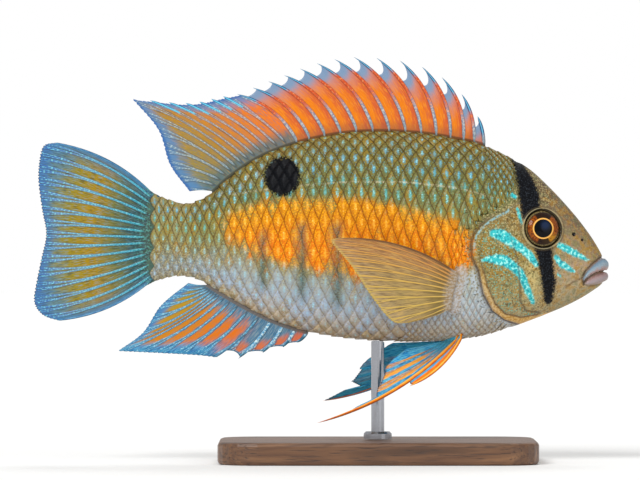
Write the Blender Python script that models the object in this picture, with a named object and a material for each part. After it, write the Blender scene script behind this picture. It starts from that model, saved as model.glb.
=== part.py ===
"""A cupid cichlid as a still, life-size model on a plain display stand.

The fish faces +X, its right side faces -Y and +Z is up. The floor is z = 0, and the origin
lies on the floor below the middle of the fish's length. Outlines are side views, as (x, z)
in millimetres, and each object's mesh is made in metres.
"""

import math

import bmesh
import bpy
from mathutils import Vector

MM = 0.001

# Driving sizes, in millimetres
GAP = 0.3  # between pieces that touch
BODY_SEGMENTS = 32  # round a cross-section

# The trunk, as heights of its back and belly, its half width, and where it is widest
BACK = [
    (-40, 63.0), (-36.3, 60.4), (-33.1, 59.1), (-30.4, 58.7), (-27.7, 59.2), (-24.9, 60.8),
    (-21.1, 64.2), (-15.9, 67.9), (-10.7, 70.5), (-3.7, 72.8), (5, 74.5), (14, 75.0),
    (23.7, 74.4), (30.5, 73.3), (37.2, 71.7), (46.6, 66.8), (52, 62.0), (57.4, 56.1),
    (61, 51.4), (63, 48.2), (64, 46.2),
]
BELLY = [
    (-40, 39.2), (-36.3, 41.0), (-33.1, 41.9), (-30.4, 41.9), (-27.2, 41.0), (-22.2, 38.0),
    (-15.9, 34.4), (-9.6, 31.5), (-2.3, 29.3), (6.7, 27.8), (16.9, 27.2), (27.1, 27.3),
    (34.6, 28.1), (40.7, 29.6), (52.8, 34.1), (58.9, 37.0), (64, 40.3),
]
HALF_WIDTH = [
    (-40, 1.2), (-33, 2.1), (-25, 3.2), (-16, 4.9), (-4, 7.2), (10, 9.1), (24, 10.0),
    (33, 10.2), (40, 9.9), (47, 8.8), (52, 7.4), (57, 5.7), (61, 4.0), (64, 2.2),
]
WIDEST_SHARE = [(-40, 0.5), (-10, 0.5), (20, 0.47), (45, 0.46), (58, 0.45), (64, 0.42)]
BACK_POWER = 1.2  # above 1 the section is narrower than an ellipse
BELLY_POWER = 1.05

# Where the body is parted
GILL_EDGE = [
    (43.6, 78), (42.8, 68.5), (40.9, 62.5), (39.2, 58), (37.4, 54.5), (35.2, 51.1),
    (33.9, 47.9), (34.4, 44.2), (35.9, 40.4), (37.9, 36.7), (40.7, 33.5), (43.8, 31.4),
    (46.6, 28), (48, 22),
]
COVER_EDGE = [
    (37.4, 54.5), (35.2, 51.1), (33.9, 47.9), (34.4, 44.2), (35.9, 40.4), (37.9, 36.7),
    (40.7, 33.9), (43.4, 32.5), (45.6, 32.8), (45.9, 35.2), (45.1, 38.9), (44.7, 42.3),
    (44.4, 46.8), (43.4, 50.6), (41.6, 53.6), (39.5, 55.0),
]
COVER_THICKNESS = 1.3
COVER_PROUD = 0.4
MOUTH_LINE = [(70, 43.2), (64.2, 42.9), (62.6, 42.2), (60.8, 41.1), (58.7, 40.2)]
JAW_HINGE = [(55.8, 37.6), (53.4, 35.6), (52.4, 31)]
STALK_X = -26.4

# The mouth's lips, each a roll from one corner round the snout to the other
LIP_CORNER_X = 59.0
LIP_FRONT_X = 65.0
LIP_CORNER_Y = 4.2
UPPER_LIP_RADIUS = 1.3
LOWER_LIP_RADIUS = 0.98
LIP_CORNER_SHARE = 0.42  # of its radius at the front
LIP_STEPS = 14
UPPER_LIP_Z = (41.1, 44.5)  # at the corner and at the front
LOWER_LIP_Z = (39.7, 41.95)

# The eye and the nostrils
EYE_X, EYE_Z = 50.1, 52.8
EYE_RADIUS = 4.0
EYE_DEPTH = 2.4  # half the eyeball's thickness
EYE_BULGE = 1.5  # how far it stands out of the skin
RIM_RADIUS = 0.42
RIM_SINK = 0.27
NOSTRILS = [(57.2, 51.6, 0.42), (59.0, 50.2, 0.32)]  # x, z and radius

# Fins
MEMBRANE = 0.27  # half thickness
RAY = 0.46
SHEATH = 0.6  # half thickness of the fleshy base
SHEATH_SHARE = 0.07  # of a ray's length
MEMBRANE_ROWS = 4
FREE_ROWS = 2
BETWEEN = 2  # columns of membrane between two rays
SPINE_HALF_WIDTH = 0.42
PELVIC_HALF_WIDTH = 0.3

DORSAL_SPINES = 14
DORSAL_RAYS = 13
DORSAL_BASE_X = [(0, 37.0), (2, 32.4), (5, 22.9), (10, 4.7), (13, -5.2), (18, -14.4), (26, -24.5)]
DORSAL_SPINE_TIPS = [
    (0, 35.6, 78.2), (1, 32.0, 83.2), (2, 27.5, 87.0), (3, 23.0, 89.4), (4, 18.0, 90.8),
    (6, 7.6, 91.6), (8, -0.8, 90.2), (10, -8.2, 87.5), (13, -18.8, 83.2),
]
DORSAL_NOTCHES = [(0, 0.36), (2, 0.58), (5, 0.68), (8, 0.76), (12, 0.81)]  # how far up the next spine
DORSAL_TOP_TIPS = [(14, -22.0, 82.7), (17, -30.5, 81.2), (20, -42.8, 82.3)]
DORSAL_REAR_TIPS = [(20, -42.8, 82.3), (22, -36.8, 75.2), (24, -34.1, 67.3), (26, -29.6, 61.2)]

ANAL_SPINES = 4
ANAL_RAYS = 13
ANAL_BASE_X = [(0, -3.0), (3, -11.1), (6, -18.4), (9, -22.4), (16, -25.7)]
ANAL_LOW_TIPS = [
    (0, -5.2, 27.0), (1, -8.5, 25.9), (2, -13.1, 24.6), (3, -18.6, 23.3), (5, -28.2, 24.1),
    (9, -46.0, 25.0),
]
ANAL_REAR_TIPS = [(9, -46.0, 25.0), (11, -40.3, 29.2), (13, -36.3, 35.2), (16, -29.9, 40.5)]

CAUDAL_RAYS = 17
CAUDAL_BASE = [(0, -36.6, 60.8), (8, -38.8, 50.8), (16, -36.7, 41.1)]
CAUDAL_TIPS = [
    (0, -59.8, 72.3), (1, -62.6, 71.7), (2, -63.6, 69.2), (4, -64.0, 63.8), (6, -63.1, 57.0),
    (8, -62.2, 51.6), (10, -63.3, 46.0), (12, -64.6, 39.6), (13, -65.0, 36.6),
    (14, -64.2, 34.4), (15, -62.3, 32.8), (16, -59.2, 31.9),
]

PECTORAL_BASE = [(0, 32.5, 42.8), (12, 31.4, 35.4)]
PECTORAL_TIPS = [
    (0, 6.5, 50.7), (1, 2.9, 50.5), (2, 2.4, 49.6), (3, 3.9, 47.8), (5, 7.0, 44.1),
    (8, 11.8, 36.9), (10, 16.2, 31.9), (11, 19.3, 31.6), (12, 22.8, 32.4),
]
PECTORAL_FLARE = 0.2  # outward for each millimetre back

PELVIC_BASE = [(0, 33.4, 3.6), (5, 30.0, 1.5)]  # x and how far from the middle
PELVIC_TIPS_RIGHT = [
    (20.0, 17.3), (-0.7, 9.2), (8.6, 13.0), (12.3, 16.7), (14.3, 20.6), (19.0, 25.6),
]
PELVIC_TIPS_LEFT = [
    (18.4, 18.6), (0.6, 13.4), (4.6, 15.8), (6.1, 17.9), (8.6, 21.0), (13.4, 25.6),
]
PELVIC_FLARE_RIGHT = 0.3  # outward for each millimetre back, half that at the inner ray
PELVIC_FLARE_LEFT = 0.38

# The display stand
BASE_LENGTH, BASE_WIDTH, BASE_HEIGHT = 72.0, 46.0, 5.0
BASE_CORNER = 9.0
BASE_BEVEL = 0.8
STAND_X = 13.0  # below the middle of the fish's weight
ROD_RADIUS = 1.5
COLLAR_RADIUS = 3.2
COLLAR_HEIGHT = 1.6

COLOURS = {  # colour, roughness, metallic
    "skin": ((0.42, 0.36, 0.16), 0.35, 0.0),
    "belly": ((0.62, 0.58, 0.55), 0.35, 0.0),
    "cheek": ((0.48, 0.42, 0.2), 0.35, 0.0),
    "back_fin": ((0.75, 0.3, 0.12), 0.4, 0.0),
    "blue_fin": ((0.1, 0.32, 0.5), 0.4, 0.0),
    "clear_fin": ((0.62, 0.45, 0.18), 0.4, 0.0),
    "eye": ((0.05, 0.025, 0.01), 0.05, 0.0),
    "wood": ((0.16, 0.075, 0.035), 0.4, 0.0),
    "steel": ((0.55, 0.55, 0.56), 0.3, 1.0),
}


def clear_scene():
    for obj in list(bpy.data.objects):
        bpy.data.objects.remove(obj)


def material(slot):
    """The Principled material of a slot, made once."""
    if slot in bpy.data.materials:
        return bpy.data.materials[slot]
    colour, roughness, metallic = COLOURS[slot]
    made = bpy.data.materials.new(slot)
    made.use_nodes = True
    shader = made.node_tree.nodes["Principled BSDF"]
    shader.inputs["Base Color"].default_value = (*colour, 1)
    shader.inputs["Roughness"].default_value = roughness
    shader.inputs["Metallic"].default_value = metallic
    return made


def smooth(keys, at):
    """The values at a place on the smooth curve through (place, value, ...) keys."""
    at = min(max(at, keys[0][0]), keys[-1][0])
    last = len(keys) - 1
    i = 0
    while i < last - 1 and at > keys[i + 1][0]:
        i += 1

    def slope(k, n):
        low, high = max(k - 1, 0), min(k + 1, last)
        return (keys[high][n] - keys[low][n]) / (keys[high][0] - keys[low][0])

    span = keys[i + 1][0] - keys[i][0]
    t = (at - keys[i][0]) / span
    values = []
    for n in range(1, len(keys[0])):
        start, end = keys[i][n], keys[i + 1][n]
        out, into = slope(i, n) * span, slope(i + 1, n) * span
        values.append(
            start * (1 + 2 * t) * (1 - t) ** 2
            + out * t * (1 - t) ** 2
            + end * t * t * (3 - 2 * t)
            - into * t * t * (1 - t)
        )
    return values[0] if len(values) == 1 else values


def section(x, grow=0.0):
    """Top, widest height, bottom and half width of the body at x."""
    top, bottom = smooth(BACK, x) + grow, smooth(BELLY, x) - grow
    widest = bottom + (top - bottom) * smooth(WIDEST_SHARE, x)
    return top, widest, bottom, smooth(HALF_WIDTH, x) + grow


def body_point(x, angle, grow=0.0):
    """A point of the body's surface; the angle is 0 on the back and grows over the left side."""
    top, widest, bottom, half = section(x, grow)
    up, across = math.cos(angle), math.sin(angle)
    power = BACK_POWER if up > 0 else BELLY_POWER
    height = widest + up * ((top - widest) if up > 0 else (widest - bottom))
    return Vector((x, math.copysign(half * abs(across) ** power, across), height))


def flank(x, z):
    """The body's half width at a place on its side."""
    top, widest, bottom, half = section(x)
    reach = (top - widest) if z > widest else (widest - bottom)
    up = min(abs(z - widest) / reach, 1.0)
    return half * math.sqrt(1 - up * up) ** (BACK_POWER if z > widest else BELLY_POWER)


def underside(x, y):
    """The height of the belly's surface at a place off the middle."""
    _, widest, bottom, half = section(x)
    across = min((abs(y) / half) ** (1 / BELLY_POWER), 1.0)
    return widest - (widest - bottom) * math.sqrt(1 - across * across)


def mesh_object(name, points, faces, slot):
    """An object from points in millimetres."""
    mesh = bpy.data.meshes.new(name)
    mesh.from_pydata([Vector(p) * MM for p in points], [], faces)
    work = bmesh.new()
    work.from_mesh(mesh)
    bmesh.ops.recalc_face_normals(work, faces=work.faces)
    work.to_mesh(mesh)
    work.free()
    mesh.materials.append(material(slot))
    obj = bpy.data.objects.new(name, mesh)
    bpy.context.scene.collection.objects.link(obj)
    return obj


def finish(obj, name, slot):
    """Names a node, gives it its material alone, and shades it."""
    obj.name = name
    obj.data.name = name
    obj.data.materials.clear()
    obj.data.materials.append(material(slot))
    for face in obj.data.polygons:
        face.material_index = 0
    obj.data.shade_smooth()
    obj.data.set_sharp_from_angle(angle=math.radians(40))
    return obj


def boolean(obj, operation, *others):
    """Joins, cuts or keeps what obj shares with each other object, and removes those."""
    group = bpy.data.collections.new("operands")
    for other in others:
        for place in list(other.users_collection):
            place.objects.unlink(other)
        group.objects.link(other)
    bpy.context.scene.collection.children.link(group)
    modifier = obj.modifiers.new("boolean", "BOOLEAN")
    modifier.solver = "EXACT"
    modifier.operation = operation
    if len(others) == 1:
        modifier.object = others[0]
    else:
        modifier.operand_type = "COLLECTION"
        modifier.collection = group
    bpy.context.view_layer.objects.active = obj
    bpy.ops.object.modifier_apply(modifier=modifier.name)
    for other in others:
        bpy.data.objects.remove(other)
    bpy.data.collections.remove(group)
    keep_largest(obj)
    return obj


def keep_largest(obj):
    """Leaves only the object's largest closed surface."""
    work = bmesh.new()
    work.from_mesh(obj.data)
    left, parts = set(work.faces), []
    while left:
        part, front = set(), [left.pop()]
        while front:
            face = front.pop()
            part.add(face)
            for edge in face.edges:
                for near in edge.link_faces:
                    if near in left:
                        left.remove(near)
                        front.append(near)
        parts.append(part)
    parts.sort(key=lambda part: sum(face.calc_area() for face in part))
    for part in parts[:-1]:
        bmesh.ops.delete(work, geom=list(part), context="FACES")
    work.to_mesh(obj.data)
    work.free()


def prism(outline, low=-30.0, high=30.0):
    """A cutter: a side outline carried across from low to high in Y."""
    count = len(outline)
    points = [(x, low, z) for x, z in outline] + [(x, high, z) for x, z in outline]
    faces = [list(range(count)), list(range(count, 2 * count))]
    faces += [[i, (i + 1) % count, count + (i + 1) % count, count + i] for i in range(count)]
    return mesh_object("prism", points, faces, "skin")


def shifted(line, x=0.0, z=0.0):
    return [(px + x, pz + z) for px, pz in line]


def swollen(outline, by):
    """An outline moved out from its own middle by about that much."""
    middle = Vector((sum(x for x, _ in outline), sum(z for _, z in outline))) / len(outline)
    return [tuple(Vector(p) + (Vector(p) - middle).normalized() * by) for p in outline]


def body_shell(grow=0.0):
    """The whole body, from the tail fin's root to the snout, as one closed loft."""
    stations = [-40 + 3 * n for n in range(24)] + [31 + 2 * n for n in range(12)]
    stations += [54.7 + 1.5 * n for n in range(6)] + [63.3, 64]
    points, faces = [], []
    for x in stations:
        for n in range(BODY_SEGMENTS):
            points.append(body_point(x, 2 * math.pi * n / BODY_SEGMENTS, grow))
    for ring in range(len(stations) - 1):
        for n in range(BODY_SEGMENTS):
            a = ring * BODY_SEGMENTS + n
            b = ring * BODY_SEGMENTS + (n + 1) % BODY_SEGMENTS
            faces.append([a, b, b + BODY_SEGMENTS, a + BODY_SEGMENTS])
    faces.append(list(range(BODY_SEGMENTS)))
    faces.append(list(range(len(points) - BODY_SEGMENTS, len(points))))
    return mesh_object("body", points, faces, "skin")


def tube(path, radii):
    """A closed round tube along a path, as a mesh."""
    curve = bpy.data.curves.new("tube", "CURVE")
    curve.dimensions = "3D"
    curve.bevel_depth = MM
    curve.bevel_resolution = 1
    curve.use_fill_caps = True
    spline = curve.splines.new("POLY")
    spline.points.add(len(path) - 1)
    for point, place, radius in zip(spline.points, path, radii):
        point.co = (*(Vector(place) * MM), 1)
        point.radius = radius
    made = bpy.data.objects.new("tube", curve)
    bpy.context.scene.collection.objects.link(made)
    bpy.context.view_layer.update()
    mesh = bpy.data.meshes.new_from_object(made.evaluated_get(bpy.context.evaluated_depsgraph_get()))
    bpy.data.objects.remove(made)
    work = bmesh.new()
    work.from_mesh(mesh)
    bmesh.ops.remove_doubles(work, verts=work.verts, dist=1e-6)
    bmesh.ops.recalc_face_normals(work, faces=work.faces)
    work.to_mesh(mesh)
    work.free()
    obj = bpy.data.objects.new("tube", mesh)
    bpy.context.scene.collection.objects.link(obj)
    return obj


def lip(heights, radius):
    """One lip's roll, thickest at the front of the snout."""
    path, radii = [], []
    for n in range(LIP_STEPS + 1):
        turn = math.pi * (n / LIP_STEPS - 0.5)
        forward = math.cos(turn)
        x = LIP_CORNER_X + (LIP_FRONT_X - radius - LIP_CORNER_X) * forward
        z = heights[0] + (heights[1] - heights[0]) * forward**1.2
        path.append((x, LIP_CORNER_Y * math.sin(turn), z))
        radii.append(radius * (LIP_CORNER_SHARE + (1 - LIP_CORNER_SHARE) * forward))
    return tube(path, radii)


def eye_frame(side):
    """The eye's middle on the skin, and the direction it looks in."""
    here = Vector((EYE_X, flank(EYE_X, EYE_Z), EYE_Z))
    ahead = Vector((EYE_X + 1, flank(EYE_X + 1, EYE_Z), EYE_Z)) - here
    above = Vector((EYE_X, flank(EYE_X, EYE_Z + 1), EYE_Z + 1)) - here
    out = above.cross(ahead).normalized()
    return Vector((here.x, here.y * side, here.z)), Vector((out.x, out.y * side, out.z))


def eyeball(side, grow=0.0):
    """A flattened ball, set so that it bulges a little from the skin."""
    middle, out = eye_frame(side)
    bpy.ops.mesh.primitive_uv_sphere_add(segments=22, ring_count=12, radius=MM)
    ball = bpy.context.object
    reach = (EYE_RADIUS + grow) * Vector((1, 1, 0)) + Vector((0, 0, EYE_DEPTH + grow))
    for vertex in ball.data.vertices:
        vertex.co = Vector(a * b for a, b in zip(vertex.co, reach))
    ball.rotation_euler = out.to_track_quat("Z", "Y").to_euler()
    ball.location = (middle + out * (EYE_BULGE - EYE_DEPTH)) * MM
    apply_place(ball)
    return ball


def apply_place(obj):
    bpy.context.view_layer.update()
    obj.data.transform(obj.matrix_world)
    obj.matrix_world.identity()


def eye_rim(side):
    """The pale ring of skin round the eye."""
    middle, out = eye_frame(side)
    bpy.ops.mesh.primitive_torus_add(
        major_radius=(EYE_RADIUS + GAP) * MM,
        minor_radius=RIM_RADIUS * MM,
        major_segments=24,
        minor_segments=6,
    )
    rim = bpy.context.object
    rim.rotation_euler = out.to_track_quat("Z", "Y").to_euler()
    rim.location = (middle - out * RIM_SINK) * MM
    apply_place(rim)
    return rim


def nostril(side, x, z, radius):
    bpy.ops.mesh.primitive_uv_sphere_add(segments=10, ring_count=6, radius=radius * MM)
    pit = bpy.context.object
    pit.location = Vector((x, side * flank(x, z), z)) * MM
    apply_place(pit)
    return pit


def head_cell(shift=0.0):
    return prism(shifted(GILL_EDGE, x=shift) + [(75, 22), (75, 78)])


def jaw_cell(shift=0.0):
    """The lower jaw's part of the head, grown by the shift above and behind."""
    edge = shifted(MOUTH_LINE, z=shift) + shifted(JAW_HINGE, x=-shift, z=shift)
    return prism(edge + [(52, 24), (70, 24)])


def build_head():
    """The head, its lower jaw and its two gill covers, parted by thin cuts."""
    whole = body_shell()
    boolean(whole, "UNION", lip(UPPER_LIP_Z, UPPER_LIP_RADIUS), lip(LOWER_LIP_Z, LOWER_LIP_RADIUS))
    boolean(whole, "INTERSECT", head_cell(GAP / 2 + 0.05))
    jaw = whole.copy()
    jaw.data = whole.data.copy()
    bpy.context.scene.collection.objects.link(jaw)
    boolean(jaw, "INTERSECT", jaw_cell())
    finish(jaw, "lower_jaw", "belly")
    boolean(whole, "DIFFERENCE", jaw_cell(GAP + 0.05))
    for side, name in ((-1, "right"), (1, "left")):
        low, high = sorted((side * 1.5, side * 20))
        recess = prism(swollen(COVER_EDGE, GAP), low, high)
        boolean(recess, "DIFFERENCE", body_shell(-COVER_THICKNESS - GAP))
        boolean(whole, "DIFFERENCE", recess)
        cover = prism(COVER_EDGE, low, high)
        boolean(cover, "INTERSECT", body_shell(COVER_PROUD))
        boolean(cover, "DIFFERENCE", body_shell(-COVER_THICKNESS))
        finish(cover, "gill_cover_" + name, "cheek")
        boolean(whole, "UNION", eye_rim(side))
        boolean(whole, "DIFFERENCE", eyeball(side, GAP))
        finish(eyeball(side), "eye_" + name, "eye")
        for x, z, radius in NOSTRILS:
            boolean(whole, "DIFFERENCE", nostril(side, x, z, radius))
    finish(whole, "head", "skin")


def build_trunk():
    """The trunk behind the gills, and the tail's stalk down to the root of its fin."""
    stalk_edge = [(STALK_X + bend, z) for bend, z in ((0.6, 80), (0, 66), (-0.5, 50), (0, 34), (0.6, 20))]
    trunk = body_shell()
    cell = shifted(GILL_EDGE, x=-GAP / 2 - 0.05) + shifted(stalk_edge[::-1], x=GAP / 2)
    boolean(trunk, "INTERSECT", prism(cell))
    finish(trunk, "trunk", "skin")
    root = [smooth(CAUDAL_BASE, 2 * n)[:2] for n in range(9)]
    root = [(x + GAP / 2 + 0.05, z) for x, z in root]
    above, below = (root[0][0] + 2.0, 80), (root[-1][0] + 2.0, 20)
    stalk = body_shell()
    cell = shifted(stalk_edge, x=-GAP / 2) + [below] + root[::-1] + [above]
    boolean(stalk, "INTERSECT", prism(cell))
    finish(stalk, "tail_stalk", "skin")


class Ray:
    """One fin ray or spine: a gently bowed line from its base to its tip, in the side view."""

    def __init__(self, base, tip, bow, width, crowd):
        self.base, self.tip = Vector(base), Vector(tip)
        line = self.tip - self.base
        self.length = line.length
        self.bow = Vector((-line.y, line.x)) * bow
        self.width = width  # half its breadth, signed towards the next ray; 0 has no free tip
        self.crowd = crowd  # above 1, rows crowd towards its base

    def at(self, share, side=0):
        """A place on the ray's middle line, or on its edge before or after."""
        share = share**self.crowd
        spot = self.base.lerp(self.tip, share) + self.bow * 4 * share * (1 - share)
        if side and self.width:
            line = self.tip - self.base
            across = Vector((-line.y, line.x)).normalized()
            spot += across * side * self.width * min(0.3 + 4 * share, 1) * (1 - 0.7 * share)
        return spot

    def run(self, share):
        return (self.at(share) - self.base).length


def ray_fan(bases, tips, bows, spines=0, width=0.0, crowd=1.0):
    """Rays in a row, of which the first few are spines whose tips stand free."""
    rays = []
    for i, (base, tip, bow) in enumerate(zip(bases, tips, bows)):
        rays.append(Ray(base, tip, bow, width if i < spines else 0.0, crowd))
    return rays


def shares(attach, free):
    """Places along a ray: its sheath, the membrane up to attach, then its free tip."""
    rows = [0, SHEATH_SHARE * attach]
    rows += [attach * n / MEMBRANE_ROWS for n in range(1, MEMBRANE_ROWS + 1)]
    rows += [attach + (1 - attach) * n / free for n in range(1, free + 1)]
    return rows


def half_thickness(row, share, ridge, sheath):
    """Half the fin's thickness: its sheath, then a ray or the skin between rays."""
    if row < 2:
        return sheath if row == 0 else 0.85 * sheath
    return max(ridge * (1 - 0.45 * share), 0.24)


def fin_columns(rays, joins, free_rows, place, sheath=SHEATH, leaves=None):
    """Columns of (point, offset of the fin's face) over a fin, from its first ray to its last.

    joins gives, for each gap between rays, how far up the membrane reaches on the ray before
    it and on the one after, and how deep its edge is hollowed. place turns a spot of the side
    view, the foot of its ray and its distance from there into a point. sheath is half the
    thickness of the fin's base, and leaves is the direction in which that stands off the body
    where it isn't the fin's own.
    """

    def spot(i, share):
        return place(rays[i].at(share), rays[i].base, rays[i].run(share))

    def facing(i, share):
        along = spot(i, min(share + 0.03, 1)) - spot(i, max(share - 0.03, 0))
        if share == 0 and leaves:
            along = Vector(leaves)
        beside = []
        for n in (max(i - 1, 0), min(i + 1, len(rays) - 1)):
            beside.append(spot(n, min(share * rays[i].length / rays[n].length, 1)))
        return along.cross(beside[1] - beside[0]).normalized()

    columns = []
    for i, ray in enumerate(rays):
        before = joins[i - 1][1] if i else joins[0][0]
        after = joins[i][0] if i < len(joins) else joins[-1][1]
        for side in (-1, 0, 1) if ray.width else (0,):
            attach = (before, (before + after) / 2, after)[side + 1] if ray.width else 1.0
            column = []
            for row, share in enumerate(shares(attach, free_rows if ray.width else 0)):
                point = place(ray.at(share, side), ray.at(0, side), ray.run(share))
                ridge = RAY if side == 0 else 0.62 * RAY
                column.append((point, facing(i, share) * half_thickness(row, share, ridge, sheath)))
            columns.append(column)
        if i == len(rays) - 1:
            break
        following = rays[i + 1]
        high, low, hollow = joins[i]
        for n in range(1, BETWEEN + 1):
            t = n / (BETWEEN + 1)
            dip = 1 - hollow * 4 * t * (1 - t)
            column = []
            for row, share in enumerate(shares(1.0, 0)):
                first, second = share * high * dip, share * low * dip
                point = place(
                    ray.at(first, 1).lerp(following.at(second, -1), t),
                    ray.at(0, 1).lerp(following.at(0, -1), t),
                    ray.run(first) * (1 - t) + following.run(second) * t,
                )
                out = facing(i, first).lerp(facing(i + 1, second), t).normalized()
                column.append((point, out * half_thickness(row, share, MEMBRANE, sheath)))
            columns.append(column)
    return columns


def fin_solid(name, columns, slot):
    """A closed sheet with ridges over its columns, its two faces split into triangles alike."""
    index, front, back = {}, [], []
    for c, column in enumerate(columns):
        for r, (point, offset) in enumerate(column):
            index[c, r] = len(front)
            front.append(point + offset)
            back.append(point - offset)
    count = len(front)
    triangles = []
    for c in range(len(columns) - 1):
        for r in range(min(len(columns[c]), len(columns[c + 1])) - 1):
            a, b = index[c, r], index[c + 1, r]
            d, e = index[c, r + 1], index[c + 1, r + 1]
            if (front[a] - front[e]).length <= (front[b] - front[d]).length:
                triangles += [(a, b, e), (a, e, d)]
            else:
                triangles += [(a, b, d), (b, e, d)]
    edges = {(t[n], t[(n + 1) % 3]) for t in triangles for n in range(3)}
    faces = [list(t) for t in triangles] + [[c + count, b + count, a + count] for a, b, c in triangles]
    for a, b in sorted(edges):
        if (b, a) not in edges:
            faces += [[b, a, a + count], [b, a + count, b + count]]
    return finish(mesh_object(name, front + back, faces, slot), name, slot)


def build_dorsal_fin():
    """The back fin in two nodes: the spines, each tip free, and the soft rays behind them."""
    count = DORSAL_SPINES + DORSAL_RAYS
    bases, tips, bows, joins = [], [], [], []
    for i in range(count):
        x = smooth(DORSAL_BASE_X, i)
        bases.append((x, smooth(BACK, x) + GAP + 0.05))
        if i < DORSAL_SPINES:
            tips.append(smooth(DORSAL_SPINE_TIPS, i))
        elif i <= DORSAL_REAR_TIPS[0][0]:
            tips.append(smooth(DORSAL_TOP_TIPS, i))
        else:
            tips.append(smooth(DORSAL_REAR_TIPS, i))
        bows.append(-0.11 if i < DORSAL_SPINES else -0.05)
        if i < DORSAL_SPINES - 1:
            joins.append((0.96 if i else 0.8, smooth(DORSAL_NOTCHES, i), 0.1))
        elif i == DORSAL_SPINES - 1:
            joins.append((0.95, 0.95, 0.02))
        else:
            joins.append((1.0, 0.975, 0.0))
    joins.pop()
    rays = ray_fan(bases, tips, bows, DORSAL_SPINES, SPINE_HALF_WIDTH)

    def place(spot, root, run):
        sway = max(0.0, (-12 - spot.x) / 30)
        lift = max(0.0, (spot.y - 60) / 22)
        return Vector((spot.x, 1.6 * sway * sway * lift, spot.y))

    columns = fin_columns(rays, joins, FREE_ROWS, place)
    split = (3 + BETWEEN) * DORSAL_SPINES - BETWEEN
    fin_solid("dorsal_fin_spiny", columns[:split], "back_fin")
    seam = []
    for (edge, _), (inner, offset) in zip(columns[split - 1], columns[split]):
        seam.append((edge + (inner - edge).normalized() * GAP, offset))
    fin_solid("dorsal_fin_soft", [seam] + columns[split:], "back_fin")


def build_anal_fin():
    count = ANAL_SPINES + ANAL_RAYS
    bases, tips, joins = [], [], []
    for i in range(count):
        x = smooth(ANAL_BASE_X, i)
        bases.append((x, smooth(BELLY, x) - GAP - 0.05))
        low = i <= ANAL_REAR_TIPS[0][0]
        tips.append(smooth(ANAL_LOW_TIPS if low else ANAL_REAR_TIPS, i))
        joins.append((0.95, 0.8, 0.03) if i < ANAL_SPINES else (1.0, 0.97, 0.0))
    joins.pop()
    rays = ray_fan(bases, tips, [0.05] * count, ANAL_SPINES, -SPINE_HALF_WIDTH)

    def place(spot, root, run):
        sway = max(0.0, (-14 - spot.x) / 32)
        return Vector((spot.x, 1.2 * sway * sway, spot.y))

    fin_solid("anal_fin", fin_columns(rays, joins, FREE_ROWS, place), "blue_fin")


def build_tail_fin():
    """The tail fin, as thick at its root as the end of the stalk."""
    bases, tips, bows = [], [], []
    for i in range(CAUDAL_RAYS):
        x, z = smooth(CAUDAL_BASE, i)
        bases.append((x - GAP / 2 - 0.05, z))
        tips.append(smooth(CAUDAL_TIPS, i))
        bows.append(-0.085 * (1 - 2 * i / (CAUDAL_RAYS - 1)))
    rays = ray_fan(bases, tips, bows)

    def place(spot, root, run):
        out = run / 26
        ripple = 0.3 * math.sin(spot.y * 0.42) * out
        return Vector((spot.x, 1.3 * out * out + ripple, spot.y))

    joins = [(1.0, 1.0, 0.008)] * (CAUDAL_RAYS - 1)
    columns = fin_columns(rays, joins, 0, place, leaves=(-1, 0, 0))
    for column in columns:
        foot, offset = column[0]
        column[0] = (foot, offset.normalized() * max(flank(foot.x + 0.3, foot.z), 0.4))
    fin_solid("caudal_fin", columns, "blue_fin")


def build_pectoral_fin(side, name):
    """A side fin: its root leaves the flank squarely, then turns back along the body."""
    count = PECTORAL_TIPS[-1][0] + 1
    bases = [smooth(PECTORAL_BASE, i) for i in range(count)]
    tips = [smooth(PECTORAL_TIPS, i) for i in range(count)]
    bows = [-0.08 + 0.009 * i for i in range(count)]
    rays = ray_fan(bases, tips, bows, crowd=1.4)

    def place(spot, root, run):
        out = 1.7 * math.sqrt(run / (run + 1.6)) + PECTORAL_FLARE * run
        return Vector((spot.x, side * (flank(*root) + GAP + 0.05 + out), spot.y))

    joins = [(1.0, 1.0, 0.01)] * (count - 1)
    columns = fin_columns(rays, joins, 0, place, leaves=(0, side, 0))
    fin_solid("pectoral_fin_" + name, columns, "clear_fin")


def build_pelvic_fin(side, name, tips, flare):
    """A belly fin: a spine, then soft rays of which the first is drawn out to a thread."""
    feet = [smooth(PELVIC_BASE, i) for i in range(len(tips))]
    bases = [(x, underside(x, y) - GAP - 0.3) for x, y in feet]
    rays = ray_fan(bases, tips, [0.09, 0.07, 0.06, 0.04, 0.02, 0.0], 2, -PELVIC_HALF_WIDTH)
    joins = [(0.93, 0.42, 0.0), (0.82, 0.97, 0.0), (0.84, 0.97, 0.02), (0.95, 0.97, 0.02), (1.0, 0.97, 0.02)]

    def place(spot, root, run):
        inner = (feet[0][0] - root.x) / (feet[0][0] - feet[-1][0])
        foot = feet[0][1] + (feet[-1][1] - feet[0][1]) * inner
        return Vector((spot.x, side * (foot + flare * run * (1 - 0.5 * inner)), spot.y))

    columns = fin_columns(rays, joins, 4, place, sheath=0.45, leaves=(0, 0, -1))
    fin_solid("pelvic_fin_" + name, columns, "blue_fin")


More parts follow.
